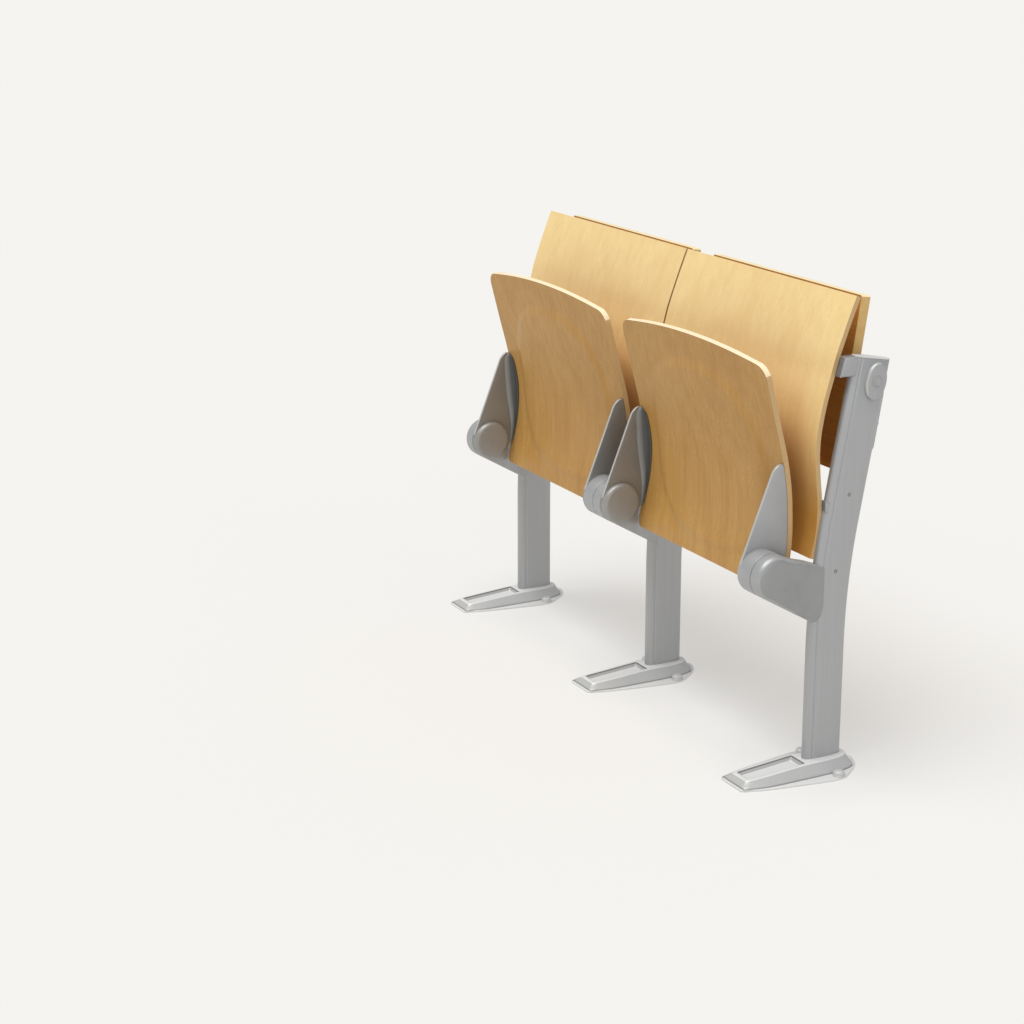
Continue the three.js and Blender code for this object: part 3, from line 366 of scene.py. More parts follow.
def turned(profile, steps, axis="X", closed=False):
    """Turns a profile of (radius, distance) points about an axis.

    Its ends are on the axis, or else it is closed and makes a ring.
    """
    points, faces, rings = [], [], []
    for radius, along in profile:
        if radius == 0:
            rings.append([len(points)])
            points.append(Vector((along, 0, 0)))
            continue
        rings.append([len(points) + k for k in range(steps)])
        for k in range(steps):
            t = 2 * pi * k / steps
            points.append(Vector((along, radius * cos(t), radius * sin(t))))
    for low, high in zip(rings, rings[1:] + rings[:1] if closed else rings[1:]):
        for k in range(steps):
            after = (k + 1) % steps
            quad = [low[k % len(low)], low[after % len(low)], high[after % len(high)], high[k % len(high)]]
            faces.append(tuple(dict.fromkeys(quad)))
    if axis == "Z":
        points = [Vector((p.y, p.z, p.x)) for p in points]
    return points, faces


def moved(shape, by):
    points, faces = shape
    return [p + Vector(by) for p in points], faces


def turned_by(shape, matrix):
    points, faces = shape
    return [matrix @ p for p in points], faces


def faced(shape, sign):
    """A shape drawn for the +X side, mirrored where the sign is negative."""
    if sign > 0:
        return shape
    points, faces = shape
    return [Vector((-p.x, p.y, p.z)) for p in points], [face[::-1] for face in faces]


def together(*shapes):
    """Puts several shapes into one mesh."""
    points, faces = [], []
    for more, near in shapes:
        start = len(points)
        points += more
        faces += [tuple(start + k for k in face) for face in near]
    return points, faces


def shown(name, data):
    """A new object in the scene."""
    made = bpy.data.objects.new(name, data)
    bpy.context.scene.collection.objects.link(made)
    return made


def build(name, shape, finish, body, nodes, slot, smooth=CRISP, extra=None, paint=None):
    """Makes a piece from a shape, and puts it on its body.

    Extra gets the new mesh. Paint gives a face's finish, once the faces point outwards.
    """
    points, faces = shape
    mesh = bpy.data.meshes.new(name)
    mesh.from_pydata([tuple(p * MM) for p in points], [], faces)
    for item in finish if isinstance(finish, list) else [finish]:
        mesh.materials.append(item)
    if extra:
        extra(mesh)
    mesh.update()
    piece = shown(name, mesh)
    work = bmesh.new()
    work.from_mesh(mesh)
    bmesh.ops.recalc_face_normals(work, faces=work.faces)
    work.to_mesh(mesh)
    work.free()
    for face in mesh.polygons:
        face.use_smooth = True
        if paint:
            face.material_index = paint(face)
    mesh.set_sharp_from_angle(angle=radians(smooth))
    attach(piece, body)
    if nodes:
        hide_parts(*nodes)
    return piece


def soften(piece, width, segments=2):
    """Rounds a piece's sharp edges by a bevel."""
    bevel = piece.modifiers.new("edges", "BEVEL")
    bevel.width = width * MM
    bevel.segments = segments
    bevel.limit_method = "ANGLE"
    bevel.angle_limit = radians(FIRM)
    bevel.harden_normals = True


# Finishes
class Nodes:
    """A short hand for a material's node tree."""

    def __init__(self, name):
        self.material = bpy.data.materials.new(name)
        self.material.use_nodes = True
        self.tree = self.material.node_tree
        self.shader = self.tree.nodes["Principled BSDF"]

    def node(self, kind, inputs=None, **settings):
        made = self.tree.nodes.new(kind)
        for key, value in settings.items():
            setattr(made, key, value)
        for key, value in (inputs or {}).items():
            self.feed(made.inputs[key], value)
        return made

    def feed(self, socket, value):
        """Links an output to a socket, or sets the socket; a colour gets its alpha here."""
        if isinstance(value, bpy.types.NodeSocket):
            self.tree.links.new(value, socket)
        else:
            socket.default_value = (*value, 1.0) if socket.type == "RGBA" else value

    def set(self, **values):
        for key, value in values.items():
            self.feed(self.shader.inputs[key.replace("_", " ")], value)

    def math(self, operation, a, b=0.0):
        return self.node("ShaderNodeMath", {0: a, 1: b}, operation=operation).outputs[0]

    def times(self, a, b):
        return self.math("MULTIPLY", a, b)

    def part(self, vector, index):
        return self.node("ShaderNodeSeparateXYZ", {0: vector}).outputs[index]

    def mix(self, factor, a, b, blend="MIX"):
        made = self.node("ShaderNodeMix", data_type="RGBA", blend_type=blend)
        self.feed(made.inputs[0], factor)
        self.feed(made.inputs[6], a)
        self.feed(made.inputs[7], b)
        return made.outputs[2]

    def noise(self, vector, scale, detail, roughness=0.5, distortion=0.0):
        """Noise over a vector, which a scale of three numbers stretches."""
        if isinstance(scale, (list, tuple)):
            vector, scale = self.node("ShaderNodeMapping", {"Vector": vector, "Scale": scale}).outputs[0], 1.0
        values = {"Vector": vector, "Scale": scale, "Detail": detail, "Roughness": roughness}
        return self.node("ShaderNodeTexNoise", values | {"Distortion": distortion}).outputs["Fac"]

    def spread(self, value, low, high, to_low=0.0, to_high=1.0):
        values = {"Value": value, "From Min": low, "From Max": high, "To Min": to_low, "To Max": to_high}
        return self.node("ShaderNodeMapRange", values).outputs[0]

    def bump(self, height, distance, strength):
        values = {"Height": height, "Distance": distance, "Strength": strength}
        return self.node("ShaderNodeBump", values).outputs[0]

    def place(self):
        return self.node("ShaderNodeTexCoord").outputs["Object"]


def linear(tint):
    """A colour from its 8-bit values."""
    shares = (value / 255 for value in tint)
    return tuple(share / 12.92 if share <= 0.04045 else ((share + 0.055) / 1.055) ** 2.4 for share in shares)


def veneer(name, light, dark, deep, figure, grain_across, grain_along, seed, low=None):
    """Lacquered beech veneer with its grain along Z, or along X where the scales say so.

    Its colours are 8-bit values. For a painted shade that darkens a face downwards, low holds a colour, a
    height where it starts and one where it is full.
    """
    kit = Nodes(name)
    light, dark, deep = map(linear, (light, dark, deep))
    spot = kit.place()
    place = kit.node("ShaderNodeVectorMath", {0: spot, 1: seed}, operation="ADD").outputs[0]
    rings = kit.noise(place, grain_across, 1.6, 0.42, 0.15)
    waves = kit.spread(kit.math("SINE", kit.times(rings, 58.0)), -1.0, 1.0)
    streaks = kit.noise(place, grain_along, 4.0, 0.6, 0.0)
    fibres = kit.noise(place, [9 * s for s in grain_along], 3.0, 0.6)
    flecks = kit.noise(place, [s * t for s, t in zip(grain_along, (16, 16, 30))], 1.0)
    clouds = kit.noise(place, (5, 5, 2.4), 2.0)
    colour = kit.mix(kit.spread(streaks, 0.32, 0.68), light, dark)
    for part, start, end, share in (
        (waves, 0.55, 1.0, 0.16), (clouds, 0.4, 0.75, 0.26),
        (fibres, 0.42, 0.75, 0.5), (flecks, 0.66, 0.74, 0.3),
    ):
        colour = kit.mix(kit.times(kit.spread(part, start, end), share * figure), colour, deep)
    # Painted shade: the colour is multiplied towards the low colour further down the face
    if low:
        tint, start, end = low
        colour = kit.mix(kit.spread(kit.part(spot, 2), start, end), colour, linear(tint), "MULTIPLY")
    kit.set(Base_Color=colour, Roughness=kit.spread(fibres, 0.3, 0.7, 0.34, 0.44))
    kit.set(Normal=kit.bump(fibres, 0.00006, 0.5))
    kit.set(Coat_Weight=0.04, Coat_Roughness=0.25, Specular_IOR_Level=0.2)
    return kit.material


GLUE_LINE = (140, 104, 62)


def plywood_edge(name, light, dark, layers):
    """The edge of a veneer stack, with 8-bit colours; the V of the surface map runs through its thickness."""
    kit = Nodes(name)
    light, dark, line = map(linear, (light, dark, GLUE_LINE))
    surface = kit.node("ShaderNodeUVMap", uv_map="surface").outputs[0]
    wobble = kit.noise(kit.place(), (60, 60, 60), 2.0)
    depth = kit.math("ADD", kit.part(surface, 1), kit.times(wobble, 0.02))

    def off_middle(count):
        """How far a place is from the middle of its layer, of so many layers."""
        return kit.math("ABSOLUTE", kit.math("SUBTRACT", kit.math("FRACT", kit.times(depth, count)), 0.5))

    ply = kit.spread(off_middle(layers / 2), 0.2, 0.3)
    glue = kit.spread(off_middle(layers), 0.42, 0.5)
    pores = kit.noise(kit.place(), (700, 700, 700), 2.0)
    colour = kit.mix(ply, light, dark)
    colour = kit.mix(kit.times(glue, 0.35), colour, line)
    colour = kit.mix(kit.times(kit.spread(pores, 0.45, 0.7), 0.25), colour, dark)
    kit.set(Base_Color=colour, Roughness=kit.spread(pores, 0.3, 0.7, 0.45, 0.6))
    kit.set(Normal=kit.bump(pores, 0.00008, 0.5))
    kit.set(Specular_IOR_Level=0.35)
    return kit.material


def silver(name, tint, shade, rough, metal, painted_shade_span=None):
    """Satin silver paint or anodised metal, with a fine sparkle and slow patches.

    The last argument, a painted shade, holds two places along X, in metres, and a colour that the second one
    is multiplied by.
    """
    kit = Nodes(name)
    place = kit.place()
    sparkle = kit.noise(place, 900.0, 2.0, 0.6)
    patches = kit.noise(place, 14.0, 3.0, 0.55)
    colour = kit.mix(kit.spread(patches, 0.3, 0.7), tint, shade)
    colour = kit.mix(kit.times(kit.spread(sparkle, 0.5, 0.8), 0.16), colour, (0.8, 0.8, 0.8))
    # Painted shade: the colour is multiplied darker along X between the two places
    if painted_shade_span:
        start, end, dark = painted_shade_span
        colour = kit.mix(kit.spread(kit.part(place, 0), start, end), colour, dark, "MULTIPLY")
    kit.set(Base_Color=colour, Metallic=metal, Specular_IOR_Level=0.5)
    kit.set(Roughness=kit.spread(patches, 0.3, 0.7, rough - 0.04, rough + 0.04))
    kit.set(Normal=kit.bump(sparkle, 0.00003, 0.6))
    return kit.material


def brushed(name, tint, shade, rough, stretch):
    """Drawn or extruded metal with fine lines along its length."""
    kit = Nodes(name)
    place = kit.place()
    lines = kit.noise(place, stretch, 3.0, 0.6)
    patches = kit.noise(place, 9.0, 3.0, 0.55)
    colour = kit.mix(kit.spread(lines, 0.3, 0.7), tint, shade)
    colour = kit.mix(kit.times(kit.spread(patches, 0.4, 0.8), 0.3), colour, shade)
    kit.set(Base_Color=colour, Metallic=0.45, Specular_IOR_Level=0.5)
    kit.set(Roughness=kit.spread(lines, 0.3, 0.7, rough - 0.04, rough + 0.05))
    kit.set(Normal=kit.bump(lines, 0.00002, 0.5))
    return kit.material


def plastic(name, tint, shade, rough):
    kit = Nodes(name)
    place = kit.place()
    grain = kit.noise(place, 1400.0, 2.0, 0.6)
    patches = kit.noise(place, 20.0, 2.0)
    kit.set(Base_Color=kit.mix(kit.spread(patches, 0.3, 0.7), tint, shade))
    kit.set(Roughness=kit.spread(grain, 0.3, 0.7, rough - 0.05, rough + 0.05))
    kit.set(Normal=kit.bump(grain, 0.00003, 0.6))
    kit.set(Specular_IOR_Level=0.45)
    return kit.material


# The back's beech is multiplied darker towards its foot: a painted shade where the seat meets the back
BACK_WOOD = veneer(
    "back_beech", (244, 218, 160), (238, 209, 148), (220, 182, 116), 0.7,
    (4.2, 4.2, 0.75), (70, 70, 2.2), (3.1, 0.0, 0.4), ((206, 172, 124), 0.70, 0.48),
)
# The seat's underside, which faces forward and a little down when folded, is a darker, more orange copy of
# the beech: painted shade
SHADED_SEAT_WOOD = veneer(
    "seat_beech_painted_shade", (197, 154, 89), (186, 141, 75), (160, 110, 48), 0.95,
    (4.6, 4.6, 0.85), (110, 110, 2.0), (0.7, 0.0, 2.4),
)
# The sitting face, folded against the back, is darker and more orange still: painted shade with a painted
# warm reflection in the gap between seat and back
SHADED_SIT_WOOD = veneer(
    "sitting_beech_painted_shade", (206, 154, 84), (192, 136, 66), (164, 104, 42), 0.8,
    (4.4, 4.4, 0.8), (74, 74, 2.4), (1.9, 0.0, 5.4),
)
PLY_EDGE = plywood_edge("plywood_edge", (212, 184, 138), (184, 146, 94), 9)
# The upward-facing plywood edges take a paler copy of the edge: painted light
LIT_PLY_TOP = plywood_edge("plywood_upper_edge_painted_light", (252, 240, 212), (238, 212, 168), 9)
BOARD = veneer(
    "tablet_laminate", (190, 136, 74), (176, 118, 58), (148, 92, 40), 0.8,
    (0.8, 4.2, 4.2), (2.4, 60, 60), (0.3, 1.0, 4.4),
)
BAND_GRAIN = (0.5, (0.8, 4.2, 4.2), (3.0, 90, 90), (2.3, 3.0, 1.4))
BOARD_EDGE = veneer("tablet_edge_band", (216, 182, 122), (206, 170, 108), (186, 148, 88), *BAND_GRAIN)
# A paler copy of the edge band for the tablet's upward faces: painted light
LIT_BOARD_TOP = veneer("tablet_upper_band_painted_light", (250, 234, 190), (244, 224, 174), (228, 202, 148), *BAND_GRAIN)
# The first pair is the cast paint; the second is a darker, warmer copy of it for wings that sit in shade:
# painted shade with a painted warm reflection from the wood
COOL = ((0.40, 0.405, 0.41), (0.36, 0.365, 0.37))
SHADED_WARM_TINTS = ((0.31, 0.305, 0.285), (0.27, 0.265, 0.25))
CAST = silver("cast_silver", *COOL, 0.42, 0.35)
# A darker copy of the cast paint: painted shade on the end arm's open side, the foot's root line and the step
# round the oval cover's boss
PAINTED_SHADE_SILVER = silver("painted_shade_silver", (0.31, 0.315, 0.315), (0.28, 0.285, 0.285), 0.44, 0.35)
# A paler copy of the cast paint: painted highlight on the wings' front edges and the oval covers' upper edges
LIT_RIM_SILVER = silver("painted_highlight_silver", (0.56, 0.56, 0.54), (0.50, 0.50, 0.485), 0.36, 0.35)
FOOT_CAST = silver("foot_silver", (0.50, 0.505, 0.50), (0.46, 0.465, 0.46), 0.42, 0.25)
# Paler and darker copies of the foot's paint: painted light on its upward faces, painted shade on its tray's
# walls
FOOT_PAINTED_LIGHT = silver("foot_painted_light_silver", (0.74, 0.74, 0.73), (0.68, 0.68, 0.67), 0.42, 0.15)
FOOT_SHADE = silver("foot_recess_painted_shade", (0.20, 0.20, 0.195), (0.16, 0.16, 0.155), 0.5, 0.2)
WARM_CAST = silver("cap_silver", (0.34, 0.335, 0.315), (0.30, 0.295, 0.28), 0.40, 0.35)
# Dark steel for the post screws: a painted shade for the small recess each one sits in
SHADED_SOCKET_STEEL = silver("socket_steel_painted_shade", (0.20, 0.20, 0.20), (0.16, 0.16, 0.16), 0.45, 0.4)
EXTRUSION = brushed("post_silver", (0.42, 0.425, 0.43), (0.38, 0.385, 0.39), 0.38, (900, 900, 3))
STEEL = brushed("screw_steel", (0.50, 0.51, 0.52), (0.40, 0.41, 0.42), 0.28, (600, 600, 600))
ANCHOR = silver("anchor_cover", (0.60, 0.60, 0.59), (0.54, 0.54, 0.53), 0.45, 0.2)
NYLON = plastic("grey_nylon", (0.46, 0.465, 0.46), (0.42, 0.425, 0.42), 0.45)
LID_GREY = plastic("lid_nylon", (0.70, 0.70, 0.69), (0.64, 0.64, 0.63), 0.4)
# A near-black ring in the groove between hubs: painted shade
GROOVE_SHADE_FINISH = plastic("groove_painted_shade", (0.09, 0.09, 0.085), (0.07, 0.07, 0.065), 0.5)


# Posts
def post_y(z):
    rise = min(max(z - BEND_START, 0), BEND_RISE)
    return BEND_RADIUS - sqrt(BEND_RADIUS**2 - rise**2) + max(z - BEND_START - BEND_RISE, 0) * tan(LEAN)


def post_tilt(z):
    return asin(min(max(z - BEND_START, 0), BEND_RISE) / BEND_RADIUS)


def post_point(x, ahead, z):
    """A point of a post's section at a height of its centre line."""
    tilt = post_tilt(z)
    return Vector((x, post_y(z) + ahead * cos(tilt), z - ahead * sin(tilt)))


def front_at(z):
    return post_y(z) - POST_HALF[1] / cos(post_tilt(z))


def post_section():
    """A post's section, with a fine groove down each side between its nose and its flank."""
    back, wide, deep = POST_GROOVE
    section = []
    for p in superellipse(*POST_HALF, 180, POST_ROUNDNESS):
        off = abs(p.y + back)
        pull = deep * max(1 - off / wide, 0)
        section.append(Vector((p.x - copysign(pull, p.x), p.y)))
    return section


def post_shape():
    bend = [BEND_START + BEND_RISE * k / 20 for k in range(21)]
    levels = [POST_FOOT, *POST_LEVELS[0], *bend, *POST_LEVELS[1], POST_TOP - POST_EDGE[1]]
    section = post_section()
    rings = [[post_point(p.x, p.y, z) for p in section] for z in levels]
    rings.append([post_point(p.x, p.y, POST_TOP) for p in inset(section, POST_EDGE[0])])
    return lofted(rings)


def top_frame(x):
    """The plane of a post's top, leaning with it."""
    return leaning((x, post_y(POST_TOP), POST_TOP), LEAN)


def cap_shape():
    section = superellipse(*POST_HALF, 96, POST_ROUNDNESS)
    plug, deep = LID_PLUG
    levels = (
        (plug, -deep), (plug, FIT), (0.3, FIT), (0, FIT + 0.3),
        (0, FIT + LID - LID_EDGE), (LID_EDGE, FIT + LID),
    )
    return lofted([[Vector((p.x, p.y, z)) for p in inset(section, drawn)] for drawn, z in levels])


# Feet
def foot_outline(shares, reach):
    half = []
    for end, sign in (("front", -1), ("rear", 1)):
        half += [Vector((wide * reach["half"], sign * far * reach[end])) for wide, far in shares[end]]
    other = [Vector((-p.x, p.y)) for p in reversed(half)]
    return smooth_curve([*half, Vector((0, reach["rear"])), *other], 10)


def tray_outline(drawn):
    rear = -POST_HALF[1] - TRAY_BEHIND - drawn
    front = TRAY_RIM - RIM_REACH["front"] + drawn
    half, front_half = TRAY_HALF - drawn, TRAY_FRONT_HALF - drawn
    corners = [Vector(c) for c in ((half, rear), (-half, rear), (-front_half, front), (front_half, front))]
    outline = []
    for k, corner in enumerate(corners):
        before = (corners[k - 1] - corner).normalized() * TRAY_CORNER
        after = (corners[(k + 1) % 4] - corner).normalized() * TRAY_CORNER
        for step in range(5):
            t = step / 4
            outline.append(corner + before * (1 - t) ** 2 + after * t**2)
    return outline


def reach_along(outline, centre, turn):
    """How far an outline is from a centre in a direction."""
    ahead = Vector((cos(turn), sin(turn)))
    best = 0
    for a, b in zip(outline, outline[1:] + outline[:1]):
        side = b - a
        cross = ahead.x * side.y - ahead.y * side.x
        if abs(cross) < 1e-9:
            continue
        gap = a - centre
        far = (gap.x * side.y - gap.y * side.x) / cross
        share = (gap.x * ahead.y - gap.y * ahead.x) / cross
        if far > 0 and -1e-6 <= share <= 1 + 1e-6:
            best = max(best, far)
    return best


def rim_drop(y):
    start = POST_HALF[1] + TRAY_BEHIND
    return RIM_FALL * max(-start - y, 0) / (RIM_REACH["front"] - start)


def foot_shape():
    centre = Vector(FOOT_CENTRE)
    corners = [atan2(p.y - centre.y, p.x - centre.x) for p in tray_outline(0)]
    turns = sorted({round(t, 4) for t in corners} | {round(-pi + 2 * pi * k / 150, 4) for k in range(150)})

    def ring(outline, drawn, z, falls=True):
        """A ring of points on an outline, drawn in, at a height that may follow the rim's fall."""
        outline = inset(anticlockwise(outline), drawn) if drawn else outline
        points = []
        for turn in turns:
            p = centre + Vector((cos(turn), sin(turn))) * reach_along(outline, centre, turn)
            points.append(Vector((p.x, p.y, z - rim_drop(p.y) if falls else z)))
        return points

    flange = foot_outline(FLANGE_SHARES, FLANGE_REACH)
    low = foot_outline(FOOT_SHARES, FOOT_REACH)
    rim = foot_outline(RIM_SHARES, RIM_REACH)
    rings = [ring(flange, drawn, z, False) for drawn, z in FLANGE_STEPS]
    rings += [ring(low, drawn, FLANGE + rise, False) for drawn, rise in FOOT_ROOT_STEPS]
    rims = [ring(rim, drawn, FOOT_TOP - down) for drawn, down in RIM_STEPS]
    body = rings[-1]
    rings += [[a.lerp(b, share) for a, b in zip(body, rims[0])] for share in (0.25, 0.5, 0.75)]
    rings += rims + [ring(tray_outline(drawn), 0, FOOT_TOP - down) for drawn, down in TRAY_STEPS]
    return lofted(rings)


# Finish of each band: 0 the cast tone, 1 painted shade on the tray's walls, 2 painted light on the flange
# top, the rim and the tray's floor, 3 painted shade in the root line
FOOT_BANDS = (2, 2, 2, 2, 2, 3, 3, 0, 0, 0, 0, 2, 2, 2, 1, 1, 0, 2, 2)


def foot_finishes(mesh):
    """Gives each band between two rings of a foot its finish, from below to the tray's floor: painted light
    on the upward faces, painted shade in the root line and on the tray's walls.
    """
    count = (len(mesh.polygons) - 2) // len(FOOT_BANDS)
    for face in mesh.polygons:
        band = (face.index - 1) // count
        face.material_index = FOOT_BANDS[min(max(band, 0), len(FOOT_BANDS) - 1)]


def anchor_shape():
    washer, thick = ANCHOR_WASHER
    radius, height = ANCHOR_DOME
    seat = FLANGE + FIT
    start = seat + thick
    wall = height * ANCHOR_WALL_SHARE
    dome = [(radius * cos(t), start + wall + (height - wall) * sin(t)) for t in quarter(10)[:-1]]
    profile = [
        (0, seat), (washer - 0.3, seat), (washer, seat + 0.3), (washer, start - 0.3), (washer - 0.3, start),
        (radius + 0.4, start), (radius, start + 0.5), *dome, (0, start + height),
    ]
    return turned(profile, 56, "Z")


# Backs
BACK_CHORD = Vector((BACK_RUN, BACK_RISE)).normalized()
BACK_LINE = Line([
    (
        BACK_BOTTOM[0] + BACK_RUN * along - BACK_CHORD.y * BACK_BOW * bow,
        BACK_BOTTOM[1] + BACK_RISE * along + BACK_CHORD.x * BACK_BOW * bow,
    )
    for along, bow in BACK_BOW_SHARES
])


def panel_grid(columns, rows, place):
    """A sheet of two skins on a grid of columns and rows, with its edges closed and mapped."""
    wide, layer = len(columns), len(columns) * len(rows)
    points = [place(across, along, skin) for skin in (0, 1) for along in rows for across in columns]
    faces, finish, maps = [], [], []

    def quad(corners, kind, edge_map=None):
        faces.append(tuple(corners))
        finish.append(kind)
        maps.append(edge_map or [(columns[c % wide], rows[(c % layer) // wide]) for c in corners])

    for row in range(len(rows) - 1):
        for column in range(wide - 1):
            a = row * wide + column
            quad((a, a + 1, a + 1 + wide, a + wide), 0)
            b = layer + a
            quad((b, b + wide, b + 1 + wide, b + 1), 1)
    loop = [c for c in range(wide - 1)]
    loop += [(row + 1) * wide - 1 for row in range(len(rows) - 1)]
    loop += [layer - 1 - c for c in range(wide - 1)]
    loop += [row * wide for row in range(len(rows) - 1, 0, -1)]
    for k, a in enumerate(loop):
        b = loop[(k + 1) % len(loop)]
        share, after = k / len(loop), (k + 1) / len(loop)
        quad((a, layer + a, layer + b, b), 2, [(share, 0), (share, 1), (after, 1), (after, 0)])

    def mapped(mesh):
        surface = mesh.uv_layers.new(name="surface")
        for face, kind, corners in zip(mesh.polygons, finish, maps):
            # Upward edge faces take the fourth finish, a paler copy of the edge: painted light
            face.material_index = 3 if kind == 2 and face.normal.z > 0.3 else kind
            for loop_index, where in zip(face.loop_indices, corners):
                surface.data[loop_index].uv = where

    return (points, faces), mapped


def back_shape(x):
    half = (PLACE_WIDTH - BACK_SEAM) / 2

    def place(across, along, skin):
        p = BACK_LINE.beside(along, BACK_THICKNESS * skin)
        return Vector((x + across * half, p.x, p.y))

    return panel_grid([-1, -0.5, 0, 0.5, 1], [k / 90 for k in range(91)], place)


# Brackets that carry the backs
def bracket_shape(kind, has_next, has_before):
    z, height, half, wrap = (BRACKETS[kind][key] for key in ("z", "height", "half", "wrap"))
    up = Vector((sin(LEAN), cos(LEAN))) * height / 2
    behind = Vector((cos(LEAN), -sin(LEAN)))
    nose = Vector((front_at(z), z))
    rear = BACK_THICKNESS + FIT
    levels = [z + height / 2 * cos(LEAN) * (k / 6 - 1) for k in range(13)]
    face = [Vector((BACK_LINE.y_at(level, rear), level)) for level in levels]
    foot, head = nose + behind * wrap - up, nose + behind * wrap + up
    block = pillow_x([*reversed(face), foot, head], -half, half, BRACKET_EDGE)
    outer = [Vector((BACK_LINE.y_at(level, rear + BRACKET_PLATE), level)) for level in levels]
    low = -BRACKET_SPAN if has_before else 1 - half
    high = BRACKET_SPAN if has_next else half - 1
    plate = pillow_x([*reversed(face), *outer], low, high, BRACKET_PLATE_EDGE, 3)
    return together(block, plate)


# Arms
def arm_shift(y):
    """How far the arm has stepped sideways on its way from the post to the hub."""
    share = smoothstep(y, HUB.x + ARM_CRANK["behind"], -POST_HALF[1] - ARM_CRANK["ahead"])
    return (HUB_SPLIT + HUB_FACE) / 2 * (1 - share)


def arm_sections():
    """Lines across the beam, from its lower edge to its upper edge, from the hub to its rear."""
    def edge(fall, side):
        """Where an edge of the beam touches the hub, and its point at any Y."""
        start = HUB + Vector((sin(fall), cos(fall))) * side * HUB_RADIUS
        return start, lambda y: Vector((y, start.y - (y - start.x) * tan(fall)))

    (top, top_at), (low, low_at) = edge(ARM_FALLS[0], 1), edge(ARM_FALLS[1], -1)
    rear, toe = ARM_WRAP - POST_HALF[1], ARM_TOE - POST_HALF[1]
    sections = []
    for k in range(ARM_STEPS + 1):
        t = k / ARM_STEPS
        sections.append((t, low_at(low.x + (toe - low.x) * t), top_at(top.x + (toe - top.x) * t)))
    start = low_at(toe)
    corner, end = Vector((rear, start.y)), Vector((rear, start.y + ARM_TOE_ROUND))
    for k in range(1, ARM_TOE_STEPS + 1):
        t = k / ARM_TOE_STEPS
        sections.append((1, bent(start, corner, end, t), top_at(toe + (rear - toe) * t)))
    return sections


def disc_shape(low, high, radius, low_edge, high_edge):
    """A round hub between two places along X, with round edges."""
    levels = rounded_levels(low, high, low_edge, 7, high_edge)
    side = [(radius - drawn, x) for drawn, x in levels]
    return moved(turned([(0, low), *side, (0, high)], 72), (0, HUB.x, HUB.y))


def arm_shape(has_next):
    """A cast arm; its sides close in on the post's sides, and it is cut back beside a sprung hub."""
    hub_round = HUB_EDGE if has_next else ARM_END_ROUND
    rear = ARM_WRAP - POST_HALF[1]
    rings = []
    for along, low, top in arm_sections():
        edge = hub_round + (ARM_EDGE - hub_round) * along
        wide, high = ARM_HALF - ARM_SKIN - edge, (top - low).length - edge
        ring = []
        for corner, (x, y) in enumerate(((wide, edge), (wide, high), (-wide, high), (-wide, edge))):
            for k in range(7):
                turn = pi / 2 * (k / 6 + corner - 1)
                side, rise = x + edge * cos(turn), y + edge * sin(turn)
                spot = low.lerp(top, rise / (top - low).length)
                near = smoothstep(spot.x, ARM_TAPER_START, rear)
                side *= 1 - near * (1 - (POST_HALF[0] + 0.5) / ARM_HALF)
                side += arm_shift(spot.x)
                if (spot - HUB).length < HUB_RADIUS + 1:
                    side = max(side, HUB_SPLIT + ARM_SKIN)
                ring.append(Vector((side, spot.x, spot.y)))
        rings.append(ring)
    hub = disc_shape(HUB_SPLIT, HUB_FACE, HUB_RADIUS, HUB_EDGE, hub_round)
    return together(lofted(rings), hub)


def arm_finish(face):
    """The open side of the arm at the row's end takes a darker copy of the paint: a painted shade."""
    return 1 if face.normal.x > 0.8 else 0


def groove_shade_shape(at):
    """A dark ring that lies in the groove between two hubs: a painted shade for the groove."""
    low, high = (HUB_RADIUS - drawn for drawn in GROOVE_SHADE_SIZE)
    profile = [(low, at - 0.1), (low, at + 0.1), (high, at + 0.8), (high, at - 0.8)]
    return moved(turned(profile, 96, closed=True), (0, HUB.x, HUB.y))


# Seats
SEAT_UNDER = Vector((HUB.x + SEAT_BEHIND_HUB, HUB.y - SEAT_BELOW_HUB))
SEAT_LINE = Line([
    (SEAT_UNDER.x - SEAT_SWEEP * sweep, SEAT_UNDER.y + SEAT_LENGTH * rise) for rise, sweep in SEAT_LINE_SHARES
])


def drawn_in(distance, corner):
    depth = max(corner - distance, 0)
    return corner - sqrt(max(corner**2 - depth**2, 0))


def seat_dish(across, along):
    """How deep the pressed dish is, as a share, inside a rounded arch."""
    sideways = abs(across / DISH_SHARES["half"]) ** DISH_ROUNDNESS
    lengthways = abs((along - DISH_SHARES["middle"]) / DISH_SHARES["reach"]) ** DISH_ROUNDNESS
    return smoothstep(1 - (sideways + lengthways) ** (1 / DISH_ROUNDNESS), 0, DISH_SHARES["rim"])


def seat_point(x, across, along, offset):
    length = SEAT_LINE.length
    drawn = max(drawn_in(along * length, SEAT_REAR_CORNER), drawn_in((1 - along) * length, SEAT_FRONT_CORNER))
    crown = SEAT_CROWN * (1 - across**2) * smoothstep(along, 0.6, 1)
    dish = SEAT_DISH * seat_dish(across, along)
    point, ahead = SEAT_LINE.at(along)
    return Vector((
        x + across * (SEAT_HALF - drawn),
        point.x + ahead.y * (offset - dish) + ahead.x * crown,
        point.y - ahead.x * (offset - dish) + ahead.y * crown,
    ))


def seat_shape(x):
    length = SEAT_LINE.length
    turns = quarter(10)
    rear = [SEAT_REAR_CORNER * (1 - cos(t)) / length for t in turns]
    front = [1 - SEAT_FRONT_CORNER * (1 - cos(t)) / length for t in reversed(turns)]
    between = [rear[-1] + (front[0] - rear[-1]) * k / 70 for k in range(1, 70)]
    columns = [k / 36 - 1 for k in range(73)]

    def place(across, along, skin):
        return seat_point(x, across, along, SEAT_THICKNESS * skin)

    return panel_grid(columns, [*rear, *between, *front], place)


